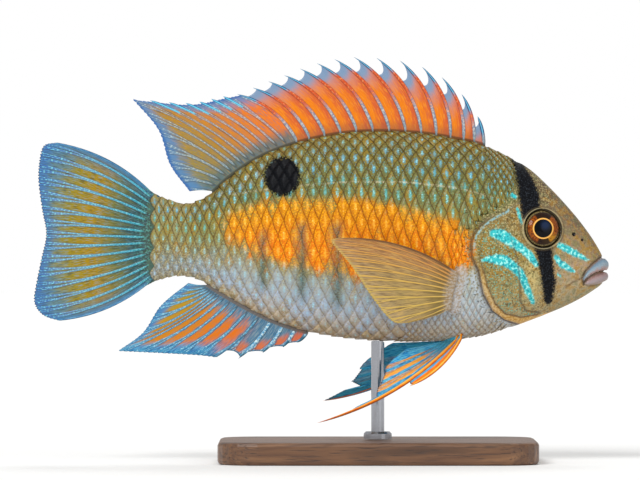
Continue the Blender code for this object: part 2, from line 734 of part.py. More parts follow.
def build_stand():
    """A flat base with rounded corners, and one rod whose end fits the belly."""
    outline = []
    for corner in range(4):
        turn = corner * math.pi / 2
        cx = (BASE_LENGTH / 2 - BASE_CORNER) * (1 if corner in (0, 3) else -1)
        cy = (BASE_WIDTH / 2 - BASE_CORNER) * (1 if corner in (0, 1) else -1)
        for n in range(7):
            a = turn + n * math.pi / 12
            outline.append((STAND_X + cx + BASE_CORNER * math.cos(a), cy + BASE_CORNER * math.sin(a)))
    count = len(outline)
    points = [(x, y, 0) for x, y in outline] + [(x, y, BASE_HEIGHT) for x, y in outline]
    faces = [list(range(count)), list(range(count, 2 * count))]
    faces += [[i, (i + 1) % count, count + (i + 1) % count, count + i] for i in range(count)]
    base = mesh_object("stand_base", points, faces, "wood")
    bevel = base.modifiers.new("bevel", "BEVEL")
    bevel.width = BASE_BEVEL * MM
    bevel.segments = 2
    bevel.limit_method = "ANGLE"
    bevel.angle_limit = math.radians(60)
    bpy.context.view_layer.objects.active = base
    bpy.ops.object.modifier_apply(modifier=bevel.name)
    finish(base, "stand_base", "wood")

    foot = BASE_HEIGHT + GAP
    profile = [
        (0, foot), (COLLAR_RADIUS, foot), (COLLAR_RADIUS, foot + COLLAR_HEIGHT - 0.5),
        (COLLAR_RADIUS - 0.5, foot + COLLAR_HEIGHT), (ROD_RADIUS, foot + COLLAR_HEIGHT),
        (ROD_RADIUS, 31), (0, 31),
    ]
    points, faces, sides = [], [], 24
    for radius, z in profile[1:-1]:
        for n in range(sides):
            a = 2 * math.pi * n / sides
            points.append((STAND_X + radius * math.cos(a), radius * math.sin(a), z))
    for ring in range(len(profile) - 3):
        for n in range(sides):
            a, b = ring * sides + n, ring * sides + (n + 1) % sides
            faces.append([a, b, b + sides, a + sides])
    faces += [list(range(sides)), list(range(len(points) - sides, len(points)))]
    rod = mesh_object("rod", points, faces, "steel")
    boolean(rod, "DIFFERENCE", body_shell(GAP))
    finish(rod, "stand_rod", "steel")


def main():
    clear_scene()
    build_head()
    build_trunk()
    build_dorsal_fin()
    build_anal_fin()
    build_tail_fin()
    build_pectoral_fin(-1, "right")
    build_pectoral_fin(1, "left")
    build_pelvic_fin(-1, "right", PELVIC_TIPS_RIGHT, PELVIC_FLARE_RIGHT)
    build_pelvic_fin(1, "left", PELVIC_TIPS_LEFT, PELVIC_FLARE_LEFT)
    build_stand()


main()
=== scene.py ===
"""A cupid cichlid as a life-size museum model: scaled skin, rayed fins, glassy eyes and a stand.

The fish faces +X, its right side faces -Y, and side views are written as (x, z) in millimetres.
"""

import math

import bmesh
import bpy
import numpy as np
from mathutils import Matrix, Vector


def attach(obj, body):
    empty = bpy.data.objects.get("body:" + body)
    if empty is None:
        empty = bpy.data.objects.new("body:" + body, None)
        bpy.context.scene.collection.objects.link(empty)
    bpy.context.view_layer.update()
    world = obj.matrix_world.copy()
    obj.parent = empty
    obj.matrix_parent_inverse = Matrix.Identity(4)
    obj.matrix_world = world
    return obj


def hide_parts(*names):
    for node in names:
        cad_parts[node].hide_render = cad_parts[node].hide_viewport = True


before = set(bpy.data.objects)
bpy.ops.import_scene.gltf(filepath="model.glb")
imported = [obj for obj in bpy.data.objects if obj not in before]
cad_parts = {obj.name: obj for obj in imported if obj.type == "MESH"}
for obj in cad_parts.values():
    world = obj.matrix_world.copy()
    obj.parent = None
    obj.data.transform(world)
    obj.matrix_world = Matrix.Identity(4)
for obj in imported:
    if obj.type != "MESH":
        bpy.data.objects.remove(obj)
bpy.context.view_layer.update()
MM = 0.001

# The camera stands square to the fish's right side, far back with a long lens, so that the
# outline shows true. The whole fish lies in the middle of the view with white all round it.
VIEW_WIDTH = 144.8 * MM
VIEW_CENTRE_X = -0.06 * MM
VIEW_CENTRE_Z = 50.2 * MM
CAMERA_AWAY = 1.3
SENSOR = 36.0
VIEW_NEAR, VIEW_FAR = 0.05, 20.0

bpy.ops.object.camera_add(
    location=(VIEW_CENTRE_X, -CAMERA_AWAY, VIEW_CENTRE_Z), rotation=(math.radians(90), 0, 0)
)
camera = bpy.context.object
camera.data.sensor_width = SENSOR
camera.data.lens = SENSOR * CAMERA_AWAY / VIEW_WIDTH
camera.data.clip_start = VIEW_NEAR
camera.data.clip_end = VIEW_FAR
bpy.context.scene.camera = camera

# The skin is one closed surface from the lips to the root of the tail fin: a form through
# smooth sections, with the two lips laid round the snout and melted in. The gill cover's
# edges, the rims of the eyes, the nostrils and the creases are then raised or sunk in it.
BACK = [
    (-39.8, 62.7), (-36.3, 60.4), (-33.1, 59.1), (-30.4, 58.7), (-27.7, 59.2), (-24.9, 60.8),
    (-21.1, 64.2), (-15.9, 67.9), (-10.7, 70.5), (-3.7, 72.8), (5, 74.5), (14, 75.0),
    (23.7, 74.4), (30.5, 73.3), (37.2, 71.7), (46.6, 66.8), (52, 62.0), (57.4, 56.1),
    (61, 51.4), (63, 48.2), (64, 46.2),
]
BELLY = [
    (-39.8, 39.3), (-36.3, 41.0), (-33.1, 41.9), (-30.4, 41.9), (-27.2, 41.0), (-22.2, 38.0),
    (-15.9, 34.4), (-9.6, 31.5), (-2.3, 29.3), (6.7, 27.8), (16.9, 27.2), (27.1, 27.3),
    (34.6, 28.1), (40.7, 29.6), (52.8, 34.1), (58.9, 37.0), (64, 40.3),
]
HALF_WIDTH = [
    (-39.8, 0.35), (-38, 0.95), (-36, 1.6), (-33, 2.15), (-25, 3.2), (-16, 4.9), (-4, 7.2), (10, 9.1),
    (24, 10.0), (33, 10.2), (40, 9.9), (47, 8.8), (52, 7.4), (57, 5.7), (61, 4.0), (64, 2.2),
]
WIDEST_SHARE = [(-40, 0.5), (-10, 0.5), (20, 0.47), (45, 0.46), (58, 0.45), (64, 0.42)]
BACK_POWER = 1.2
BELLY_POWER = 1.05
TAIL_END, SNOUT_END = -39.8, 64.0
SECTION_EVERY, SECTION_POINTS = 0.5, 160
SKIN_VOXEL = 0.3 * MM
SKIN_SMOOTHING = 5
THIN_BEHIND, THIN_TO, THIN_WEIGHT = 27.0, 0.7, 1000

LIP_CORNER_X, LIP_FRONT_X, LIP_CORNER_Y = 59.0, 65.0, 4.2
UPPER_LIP = {"radius": 1.3, "corner": 41.1, "front": 44.5}
LOWER_LIP = {"radius": 0.98, "corner": 39.7, "front": 41.95}
LIP_CORNER_SHARE = 0.42
GILLS_FROM, LIPS_FROM = 30, 58

EYE_X, EYE_Z = 50.1, 52.8
EYE_RADIUS, EYE_DEPTH, EYE_BULGE = 4.25, 2.4, 1.5
ORBIT_RIM, ORBIT_GROOVE, ORBIT_DEPTH = 4.5, 5.2, 1.7
COVER_MARGIN = [
    (41.8, 57.0), (39.8, 56.0), (37.8, 54.8), (35.9, 53.2), (34.6, 51.4), (34.0, 49.0),
    (34.2, 46.4), (35.7, 43.3), (36.2, 40.6), (36.7, 38.1), (38.8, 34.2), (41.6, 32.2),
    (45.0, 31.2),
]
COVER_INNER_LINE = [
    (35.4, 48.4), (35.9, 45.4), (36.9, 42.4), (37.5, 39.9), (39.3, 36.0), (41.6, 33.7),
    (45.3, 32.7), (49.2, 33.4),
]
CHEEK_LINE = [
    (40.6, 54.2), (42.6, 51.6), (44.1, 46.7), (44.7, 43.3), (45.0, 39.4), (45.0, 36.6),
    (46.3, 34.2), (49.4, 33.8),
]
MOUTH_CREASE = [(55.4, 39.5), (57.0, 40.6), (58.6, 41.4)]
NOSTRILS = [(57.2, 51.5, 0.42), (59.1, 50.2, 0.3)]
LIP_TOP = [(64.8, 46.2), (63.3, 46.3), (61.5, 44.9), (60.0, 43.3), (59.0, 41.6), (59.2, 40.4)]
MOUTH_LINE = [(65.4, 43.2), (63.9, 43.15), (62.4, 42.7), (61.3, 42.2), (60.2, 41.4), (59.2, 40.2)]
LIP_LOW = [(65.2, 41.1), (63.4, 40.2), (61.8, 39.9), (60.4, 39.8), (59.2, 40.2)]
SCALED_EDGE = [
    (46.9, 75), (45.9, 70), (45.3, 66), (44.9, 62.5), (44.0, 59.4), (41.8, 57.5), (37.6, 55.4),
    (34.8, 53.0), (33.4, 50.9), (33.2, 47.9), (33.8, 44.2), (35.2, 40.4), (36.8, 36.7),
    (39.6, 33.2), (43.4, 30.6),
]
COAT_DEPTH = 0.25
FIN_PAD = [(31.7, 43.0), (30.7, 39.0), (30.1, 34.8)]
FIN_PAD_SIZE = 1.5


def curve(keys, at):
    """Values at places on the smooth curve through (place, value) keys."""
    keys = np.array(keys, float)
    place, value = keys[:, 0], keys[:, 1]
    slope = np.empty(len(place))
    slope[1:-1] = (value[2:] - value[:-2]) / (place[2:] - place[:-2])
    slope[0] = (value[1] - value[0]) / (place[1] - place[0])
    slope[-1] = (value[-1] - value[-2]) / (place[-1] - place[-2])
    at = np.clip(np.asarray(at, float), place[0], place[-1])
    k = np.clip(np.searchsorted(place, at, "right") - 1, 0, len(place) - 2)
    span = place[k + 1] - place[k]
    t = (at - place[k]) / span
    start = value[k] * (1 + 2 * t) + slope[k] * span * t
    end = value[k + 1] * (3 - 2 * t) - slope[k + 1] * span * (1 - t)
    return start * (1 - t) ** 2 + end * t * t


def section(x):
    """The top, bottom, half width and widest height of the body's section at each x."""
    top, bottom = curve(BACK, x), curve(BELLY, x)
    return top, bottom, curve(HALF_WIDTH, x), bottom + (top - bottom) * curve(WIDEST_SHARE, x)


def body_surface(x, angle):
    """Points of the body's form; the angle is 0 on the back and half a turn on the belly."""
    top, bottom, half, widest = section(x)
    up, across = np.cos(angle), np.sin(angle)
    power = np.where(up > 0, BACK_POWER, BELLY_POWER)
    height = widest + up * np.where(up > 0, top - widest, widest - bottom)
    return np.stack([x + 0 * angle, np.sign(across) * half * abs(across) ** power, height], -1)


def flank(x, z):
    """The body's half width at places on its side."""
    top, bottom, half, widest = section(x)
    reach = np.where(z > widest, top - widest, widest - bottom)
    up = np.minimum(abs(z - widest) / reach, 1)
    return half * np.sqrt(1 - up * up) ** np.where(z > widest, BACK_POWER, BELLY_POWER)


def near_line(x, z, line):
    """Distance to a side-view line, positive on its left, and how many points along it."""
    nearest, side, along = np.full(x.shape, 1e9), np.ones(x.shape), np.zeros(x.shape)
    for n, (start, end) in enumerate(zip(line[:-1], line[1:])):
        run_x, run_z = end[0] - start[0], end[1] - start[1]
        share = ((x - start[0]) * run_x + (z - start[1]) * run_z) / (run_x**2 + run_z**2)
        share = np.clip(share, 0, 1)
        off_x, off_z = x - start[0] - share * run_x, z - start[1] - share * run_z
        away = np.hypot(off_x, off_z)
        closer = away < nearest
        nearest = np.where(closer, away, nearest)
        side = np.where(closer, np.sign(run_x * off_z - run_z * off_x), side)
        along = np.where(closer, n + share, along)
    return nearest * side, along


def step(value, low, high):
    """A smooth rise from 0 at low to 1 at high."""
    share = np.clip((value - low) / (high - low), 0, 1)
    return share * share * (3 - 2 * share)


def hump(value, width):
    return np.exp(-((value / width) ** 2))


def mesh_piece(name, points, faces):
    """An object from points in millimetres, facing outwards and smooth all over."""
    mesh = bpy.data.meshes.new(name)
    mesh.from_pydata(np.asarray(points) * MM, [], faces)
    work = bmesh.new()
    work.from_mesh(mesh)
    bmesh.ops.recalc_face_normals(work, faces=work.faces)
    work.to_mesh(mesh)
    work.free()
    mesh.shade_smooth()
    piece = bpy.data.objects.new(name, mesh)
    bpy.context.scene.collection.objects.link(piece)
    return piece


def grid_faces(rows, columns, closed=False):
    """Quads over a grid of points that are numbered row by row."""
    faces = []
    for r in range(rows - 1):
        for c in range(columns if closed else columns - 1):
            a, b = r * columns + c, r * columns + (c + 1) % columns
            faces.append((a, b, b + columns, a + columns))
    return faces


def apply_modifiers(piece):
    bpy.ops.object.select_all(action="DESELECT")
    piece.select_set(True)
    bpy.context.view_layer.objects.active = piece
    for modifier in list(piece.modifiers):
        bpy.ops.object.modifier_apply(modifier=modifier.name)


def points_of(piece):
    """A piece's points in millimetres."""
    flat = np.empty(len(piece.data.vertices) * 3)
    piece.data.vertices.foreach_get("co", flat)
    return flat.reshape(-1, 3) / MM


def normals_of(piece):
    flat = np.empty(len(piece.data.vertices) * 3)
    piece.data.vertex_normals.foreach_get("vector", flat)
    return flat.reshape(-1, 3)


def move_points(piece, points):
    piece.data.vertices.foreach_set("co", (points * MM).ravel())
    piece.data.update()


def set_field(piece, name, values):
    """Keeps a number for each point, which the finishes read."""
    field = piece.data.attributes.new(name, "FLOAT", "POINT")
    field.data.foreach_set("value", np.asarray(values, float).ravel())


def body_form():
    stations = np.append(np.arange(TAIL_END, SNOUT_END, SECTION_EVERY), SNOUT_END)
    angles = np.linspace(0, 2 * math.pi, SECTION_POINTS, endpoint=False)
    points = body_surface(stations[:, None], angles[None, :])
    faces = grid_faces(len(stations), len(angles), closed=True)
    faces.append(tuple(range(len(angles)))[::-1])
    faces.append(tuple(range((len(stations) - 1) * len(angles), len(stations) * len(angles))))
    return mesh_piece("skin", points.reshape(-1, 3), faces)


def lip_roll(sizes):
    """A roll round the snout, thickest in front, as a bevelled curve made a mesh."""
    roll = bpy.data.curves.new("lip", "CURVE")
    roll.dimensions = "3D"
    roll.bevel_depth = MM
    roll.bevel_resolution = 6
    roll.use_fill_caps = True
    spline = roll.splines.new("POLY")
    steps = 40
    spline.points.add(steps)
    for n, point in enumerate(spline.points):
        turn = math.pi * (n / steps - 0.5)
        ahead = math.cos(turn)
        x = LIP_CORNER_X + (LIP_FRONT_X - sizes["radius"] - LIP_CORNER_X) * ahead
        z = sizes["corner"] + (sizes["front"] - sizes["corner"]) * abs(ahead) ** 1.2
        point.co = (x * MM, LIP_CORNER_Y * math.sin(turn) * MM, z * MM, 1)
        point.radius = sizes["radius"] * (LIP_CORNER_SHARE + (1 - LIP_CORNER_SHARE) * ahead)
    lip = bpy.data.objects.new("lip", roll)
    bpy.context.scene.collection.objects.link(lip)
    return lip


def eye_place(side):
    """The eye's middle on the skin, and the way it looks; side is -1 on the right."""
    here = Vector((EYE_X, flank(EYE_X, EYE_Z), EYE_Z))
    ahead = Vector((EYE_X + 1, flank(EYE_X + 1, EYE_Z), EYE_Z)) - here
    above = Vector((EYE_X, flank(EYE_X, EYE_Z + 1), EYE_Z + 1)) - here
    out = above.cross(ahead).normalized()
    return Vector((here.x, here.y * side, here.z)), Vector((out.x, out.y * side, out.z))


def lip_lines(x, z):
    """Distances below the upper lip's top edge, the mouth line and the lower lip's foot."""
    return [near_line(x, z, line)[0] for line in (LIP_TOP, MOUTH_LINE, LIP_LOW)]


def head_relief(points):
    """How far the skin stands out of its smooth form at each point, in millimetres."""
    x, y, z = points.T
    bare, _ = near_line(x, z, SCALED_EDGE)
    relief = -COAT_DEPTH * step(-bare, -0.2, 1.4)
    margin, along = near_line(x, z, COVER_MARGIN)
    ends = step(along, 0, 2.5) * step(12 - along, 0, 2)
    edge = 0.45 * step(margin, -0.15, 0.3) * (1 - step(margin, 1, 9))
    cleft = 0.5 * hump(margin + 0.3, 0.38) + 0.3 * step(-margin, 0, 0.6) * (1 - step(-margin, 0.6, 3.2))
    relief += ends * (edge - cleft) * (x > GILLS_FROM)
    inner, along = near_line(x, z, COVER_INNER_LINE)
    relief += (0.12 * step(inner, -0.5, 0) * hump(inner, 0.8) - 0.2 * hump(inner, 0.28)) * step(along, 0, 1)
    cheek, along = near_line(x, z, CHEEK_LINE)
    relief += (0.1 * hump(cheek + 0.5, 0.4) - 0.2 * hump(cheek, 0.3)) * step(along, 0, 1.5)
    crease, _ = near_line(x, z, MOUTH_CREASE)
    relief -= 0.16 * hump(crease, 0.3)
    pad, _ = near_line(x, z, FIN_PAD)
    relief += 0.7 * hump(pad, FIN_PAD_SIZE) + 0.06 * np.sin(z * 5) * hump(pad, 1.2)
    top, mouth, low = lip_lines(x, z)
    relief += 0.32 * step(top, 0, 0.5) * step(-mouth, 0, 0.4) * (x > LIPS_FROM)
    relief += 0.22 * step(mouth, 0, 0.4) * step(-low, 0, 0.5) * (x > LIPS_FROM)
    relief -= 0.34 * hump(top, 0.24) + 0.5 * hump(mouth, 0.26) + 0.2 * hump(low, 0.28)
    for side in (-1, 1):
        middle, out = eye_place(side)
        off = points - np.array(middle)
        depth = off @ np.array(out)
        reach = np.linalg.norm(off - depth[:, None] * np.array(out), axis=1)
        here = (np.sign(y) == side) * (abs(depth) < 6)
        relief += here * (0.38 * hump(reach - ORBIT_RIM, 0.3) - 0.22 * hump(reach - ORBIT_GROOVE, 0.45))
        relief -= here * ORBIT_DEPTH * step(-reach, -4.4, -3.95)
        for pit_x, pit_z, radius in NOSTRILS:
            reach = np.linalg.norm(points - (pit_x, side * flank(pit_x, pit_z), pit_z), axis=1)
            relief += 0.16 * hump(reach - 1.5 * radius, 0.25) - 0.6 * hump(reach, radius)
    return relief


skin = body_form()
lips = [lip_roll(UPPER_LIP), lip_roll(LOWER_LIP)]
bpy.ops.object.select_all(action="DESELECT")
for lip in lips:
    lip.select_set(True)
bpy.context.view_layer.objects.active = lips[0]
bpy.ops.object.convert(target="MESH")
skin.select_set(True)
bpy.context.view_layer.objects.active = skin
bpy.ops.object.join()
melt = skin.modifiers.new("melt", "REMESH")
melt.mode = "VOXEL"
melt.voxel_size = SKIN_VOXEL
melt.use_smooth_shade = True
even = skin.modifiers.new("even", "SMOOTH")
even.iterations = SKIN_SMOOTHING
apply_modifiers(skin)

# under the scales the skin is thinned, and the bare head keeps all its points
covered = np.flatnonzero(points_of(skin)[:, 0] < THIN_BEHIND)
skin.vertex_groups.new(name="covered").add(covered.tolist(), 1.0, "REPLACE")
thin = skin.modifiers.new("thin", "DECIMATE")
thin.ratio = THIN_TO
thin.vertex_group = "covered"
thin.vertex_group_factor = THIN_WEIGHT
apply_modifiers(skin)
skin.vertex_groups.clear()
form = points_of(skin)
move_points(skin, form + normals_of(skin) * head_relief(form)[:, None])
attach(skin, "root")
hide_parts("head", "lower_jaw", "gill_cover_left", "gill_cover_right", "trunk", "tail_stalk")

# The fish's markings are the same on the skin and on the scales over it: a black bar through
# the eye, a black spot under the dorsal fin, bright lines on the cheek and snout, faint bars
# and an orange band on the flank. Each is kept at every point as a number, such as how deep
# the point lies inside the mark in millimetres, and the finish makes the ragged edge.
EYE_BAR = [
    (35.4, 51.4, -0.6), (36.2, 51.4, 0.9), (38.2, 51.4, 1.27), (40.7, 51.4, 1.63),
    (43.3, 51.0, 1.7), (45.9, 50.5, 1.88), (48.0, 50.2, 2.08), (56.1, 47.6, 2.33),
    (58.2, 47.2, 2.35), (60.2, 47.0, 2.47), (62.5, 46.5, 2.13), (64.7, 45.8, 1.76),
    (66.8, 45.0, 1.3), (69.5, 44.0, 1.2),
]
CHEEK_STROKES = [
    [(38.9, 51.7, 0.95), (40.2, 51.4, 1.25), (41.7, 50.7, 1.3), (43.7, 49.3, 1.05), (45.5, 48.1, 0.9),
     (47.3, 46.5, 0.85), (48.6, 44.7, 0.65)],
    [(36.4, 45.6, 0.3), (37.8, 46.0, 0.7), (39.5, 45.9, 1.15), (41.4, 45.5, 1.25), (43.2, 44.4, 1.05),
     (44.8, 42.9, 0.95), (45.8, 41.0, 0.85), (46.8, 38.6, 0.8), (47.9, 36.2, 0.5)],
    [(43.2, 60.4, 0.5), (43.9, 59.9, 0.4)],
    [(44.4, 57.2, 0.3), (44.9, 55.2, 0.35), (45.3, 54.0, 0.2)],
    [(54.0, 49.0, 0.7), (55.7, 48.1, 0.8), (57.8, 47.0, 0.75), (60.3, 45.7, 0.3)],
    [(53.1, 46.2, 0.6), (54.1, 44.9, 0.75), (55.7, 43.9, 0.7), (57.2, 43.1, 0.3)],
    [(53.6, 42.5, 0.3), (54.1, 41.9, 0.25)],
]
# a patch is its middle's x and z, its half length and its half height
SPOT = (-8.6, 64.6, 4.0, 4.5)
FLANK_BARS = [(-12.9, 51.0, 39.5, 1.0), (-4.1, 53.0, 37.0, 1.15), (3.7, 53.0, 35.0, 1.15)]
ORANGE_TOP = [
    (-36, 56), (-27, 57.4), (-20, 57.6), (-13, 58.4), (-7, 58.7), (7, 58.6), (20, 56.8),
    (27, 55), (33, 52.5),
]
ORANGE_LOW = [
    (-36, 52), (-27, 51), (-20, 50), (-13, 48), (-7, 46.6), (7, 44.4), (20, 42.5), (27, 43.5), (33, 44.5),
]
ORANGE_DEPTH = [
    (-38, 0.1), (-30, 0.2), (-24, 0.36), (-17, 0.76), (-9, 1), (20, 1), (29, 0.95),
    (33.5, 0.8), (36, 0.2),
]
GILL_PATCH = (32.4, 46.2, 2.4, 4.0)
PALE_PATCH = (47.6, 42, 1.5, 5)
LATERAL_LINE = [(-20, 60.5), (-8, 62.2), (6, 63.3), (20, 63.2), (31, 61.9), (39, 59.8)]


def off_patch(x, z, middle_x, middle_z, length, height):
    """Distance from a patch's middle as a share of its size: 0 in the middle, 1 at its edge."""
    return np.hypot((x - middle_x) / length, (z - middle_z) / height)


def mark(piece, points):
    """Keeps the markings' numbers at a piece's points."""
    x, _, z = points.T
    top, bottom = curve(BACK, x), curve(BELLY, x)
    set_field(piece, "height", (z - bottom) / (top - bottom))
    middle = curve([(height, place) for height, place, _ in EYE_BAR], z)
    half = curve([(height, half) for height, _, half in EYE_BAR], z)
    set_field(piece, "eye_bar", half - abs(x - middle))
    inside = np.full(len(points), -9.0)
    for stroke in CHEEK_STROKES:
        away, along = near_line(x, z, stroke)
        wide = np.interp(along, range(len(stroke)), [width for _, _, width in stroke])
        inside = np.maximum(inside, wide - abs(away))
    set_field(piece, "stroke", inside)
    set_field(piece, "spot", SPOT[2] * (1 - off_patch(x, z, *SPOT)))
    bars = np.zeros(len(points))
    for place, high, low, wide in FLANK_BARS:
        bar = hump(x - place, wide) * step(z, low - 2.5, low + 2) * step(-z, -high - 3, -high + 1)
        bars = np.maximum(bars, bar)
    set_field(piece, "flank_bar", bars)
    band = step(z - curve(ORANGE_LOW, x), -7.0, 3.6) * step(curve(ORANGE_TOP, x) - z, -5.0, 4.4)
    patch = hump(off_patch(x, z, *GILL_PATCH), 0.9)
    set_field(piece, "orange", np.maximum(band * curve(ORANGE_DEPTH, x), 0.95 * patch))
    lines = {"bare": SCALED_EDGE, "cover": COVER_MARGIN, "cheek": CHEEK_LINE, "pores": LATERAL_LINE}
    for key, line in lines.items():
        set_field(piece, key, near_line(x, z, line)[0])
    set_field(piece, "pad", hump(near_line(x, z, FIN_PAD)[0], FIN_PAD_SIZE))


def mark_head(piece, points):
    """Keeps the numbers that only the bare head needs: its seams and creases, lips, nostrils and eye rims,
    which carry painted shade.
    """
    x, _, z = points.T
    # dark lines along the gill cover's edges, the cheek line, the mouth crease and the lips: partly dark
    # joint lines, partly painted shade in the creases and the mouth line
    cover, along = near_line(x, z, COVER_MARGIN)
    seam = hump(cover + 0.2, 0.26) * step(along, 0.5, 3) * (x > GILLS_FROM)
    inner, along = near_line(x, z, COVER_INNER_LINE)
    seam = np.maximum(seam, 0.95 * hump(inner, 0.2) * step(along, 0, 1.5))
    cheek, along = near_line(x, z, CHEEK_LINE)
    seam = np.maximum(seam, 0.8 * hump(cheek, 0.2) * step(along, 0, 2.5))
    crease, _ = near_line(x, z, MOUTH_CREASE)
    top, mouth, low = lip_lines(x, z)
    for away, depth in ((crease, 0.6), (top, 0.95), (mouth, 1.0), (low, 0.6)):
        seam = np.maximum(seam, depth * hump(away, 0.2))
    set_field(piece, "seam", seam)
    set_field(piece, "lip_share", np.where(mouth < 0, top / (top - mouth), mouth / (mouth - low)))
    set_field(piece, "upper_lip", step(top, 0, 0.3) * step(-mouth, -0.1, 0.2) * (x > LIPS_FROM + 0.5))
    set_field(piece, "lower_lip", step(mouth, 0, 0.3) * step(-low, -0.2, 0.5) * (x > LIPS_FROM + 1))
    # the nostrils' pits, which the finish paints near black as shade in the recesses
    pit = np.zeros(len(points))
    for pit_x, pit_z, radius in NOSTRILS:
        pit = np.maximum(pit, hump(np.hypot(x - pit_x, z - pit_z), radius * 1.15))
    set_field(piece, "pit", pit)
    set_field(piece, "orbit", np.hypot(x - EYE_X, z - EYE_Z))
    set_field(piece, "bar_gap", hump(off_patch(x, z, *PALE_PATCH), 1))
    set_field(piece, "inner", inner)


mark(skin, form)
mark_head(skin, form)


def tint(red, green, blue):
    """A colour as a screen shows it, turned into the light that the shader wants."""
    light = []
    for part in (red, green, blue):
        part /= 255
        light.append(part / 12.92 if part <= 0.04045 else ((part + 0.055) / 1.055) ** 2.4)
    return (*light, 1)


class Reading:
    """A number that changes over a surface; sums on it add Math nodes to its finish."""

    def __init__(self, finish, socket):
        self.finish, self.socket = finish, socket

    def maths(self, operation, *values):
        return self.finish.node("ShaderNodeMath", {"operation": operation}, dict(enumerate(values)))

    def __add__(self, other):
        return self.maths("ADD", self, other)

    def __sub__(self, other):
        return self.maths("SUBTRACT", self, other)

    def __rsub__(self, other):
        return self.maths("SUBTRACT", other, self)

    def __mul__(self, other):
        return self.maths("MULTIPLY", self, other)

    def __truediv__(self, other):
        return self.maths("DIVIDE", self, other)

    def __pow__(self, other):
        return self.maths("POWER", self, other)

    def __abs__(self):
        return self.maths("ABSOLUTE", self)

    __radd__, __rmul__ = __add__, __mul__

    def over(self, low, high):
        """A smooth rise from 0 at low to 1 at high."""
        settings = {"interpolation_type": "SMOOTHSTEP"}
        return self.finish.node("ShaderNodeMapRange", settings, {0: self, 1: low, 2: high})

    def near(self, place, reach):
        """1 at a place, falling smoothly to 0 at that reach on both sides."""
        return abs(self - place).over(reach, 0)

    def or_more(self, other):
        return self.maths("MAXIMUM", self, other)

    def fraction(self):
        return self.maths("FRACT", self)


class Finish:
    """A material in the making, whose nodes are added by calls and by sums on readings."""

    def __init__(self, name, **sockets):
        self.material = bpy.data.materials.new(name)
        self.material.use_nodes = True
        self.tree = self.material.node_tree
        self.shader = self.tree.nodes["Principled BSDF"]
        for key, value in sockets.items():
            self.socket(key).default_value = value
        self.place = self.node("ShaderNodeTexCoord", {}, {}, "Object")

    def socket(self, key):
        """The shader's own socket, such as Base Color for base_color."""
        return self.shader.inputs[key.replace("_", " ").title().replace("Ior", "IOR")]

    def node(self, kind, settings, sockets, out=0):
        """Adds a node, sets it, then fills its sockets with values or links."""
        made = self.tree.nodes.new(kind)
        for key, value in settings.items():
            if key == "stops":
                while len(made.color_ramp.elements) < len(value):
                    made.color_ramp.elements.new(1)
                for stop, (place, colour) in zip(made.color_ramp.elements, value):
                    stop.position, stop.color = place, colour
            else:
                setattr(made, key, value)
        for key, value in sockets.items():
            if isinstance(value, Reading):
                self.tree.links.new(value.socket, made.inputs[key])
            else:
                made.inputs[key].default_value = value
        return Reading(self, made.outputs[out])

    def field(self, name):
        return self.node("ShaderNodeAttribute", {"attribute_name": name}, {}, "Fac")

    def noise(self, grain, detail=2.0, at=None, **sockets):
        """Cloudy noise with lumps of that many millimetres, or units where it is given a vector."""
        scale = 1 / grain if at else 1 / (grain * MM)
        sockets.update(Vector=at or self.place, Scale=scale, Detail=detail)
        return self.node("ShaderNodeTexNoise", {}, sockets, "Fac")

    def cells(self, grain, out="Distance"):
        """Round cells of about that many millimetres."""
        return self.node("ShaderNodeTexVoronoi", {}, {"Vector": self.place, "Scale": 1 / (grain * MM)}, out)

    def along_body(self):
        """How far forward a point lies on the fish, in millimetres."""
        return self.node("ShaderNodeSeparateXYZ", {}, {0: self.place}, "X") / MM

    def flakes(self, grain):
        """Three numbers that are 0 between small soft dots and change by chance from dot to dot."""
        chance, dot = self.cells(grain, out="Color"), self.cells(grain).over(0.62, 0.3)
        parts = ("Red", "Green", "Blue")
        return [self.node("ShaderNodeSeparateColor", {}, {0: chance}, part) * dot for part in parts]

    def vector(self, x, y):
        return self.node("ShaderNodeCombineXYZ", {}, {0: x, 1: y})

    def mix(self, share, first, second, blend="MIX"):
        settings = {"data_type": "RGBA", "blend_type": blend}
        return self.node("ShaderNodeMix", settings, {0: share, 6: first, 7: second}, 2)

    def lay(self, share, paint, blend="MIX"):
        """Lays a paint over the finish's colour so far, by a share from 0 to 1."""
        self.colour = self.mix(share, self.colour, paint, blend)

    def ramp(self, at, *stops):
        """A colour that changes along a number; each stop is a place and a screen colour."""
        stops = [(place, tint(*paint)) for place, *paint in stops]
        return self.node("ShaderNodeValToRGB", {"stops": stops}, {0: at}, "Color")

    def give(self, **sockets):
        """Links readings to the shader's own sockets."""
        for key, reading in sockets.items():
            self.tree.links.new(reading.socket, self.socket(key))

    def bump(self, height, depth):
        """Roughens the surface by a height that runs from 0 to 1, that many millimetres deep."""
        sockets = {"Height": height, "Distance": depth * MM, "Strength": 1.0}
        self.give(normal=self.node("ShaderNodeBump", {}, sockets, "Normal"))


BLACK_MARK = tint(9, 10, 14)
BRIGHT_LINE = tint(44, 196, 200)


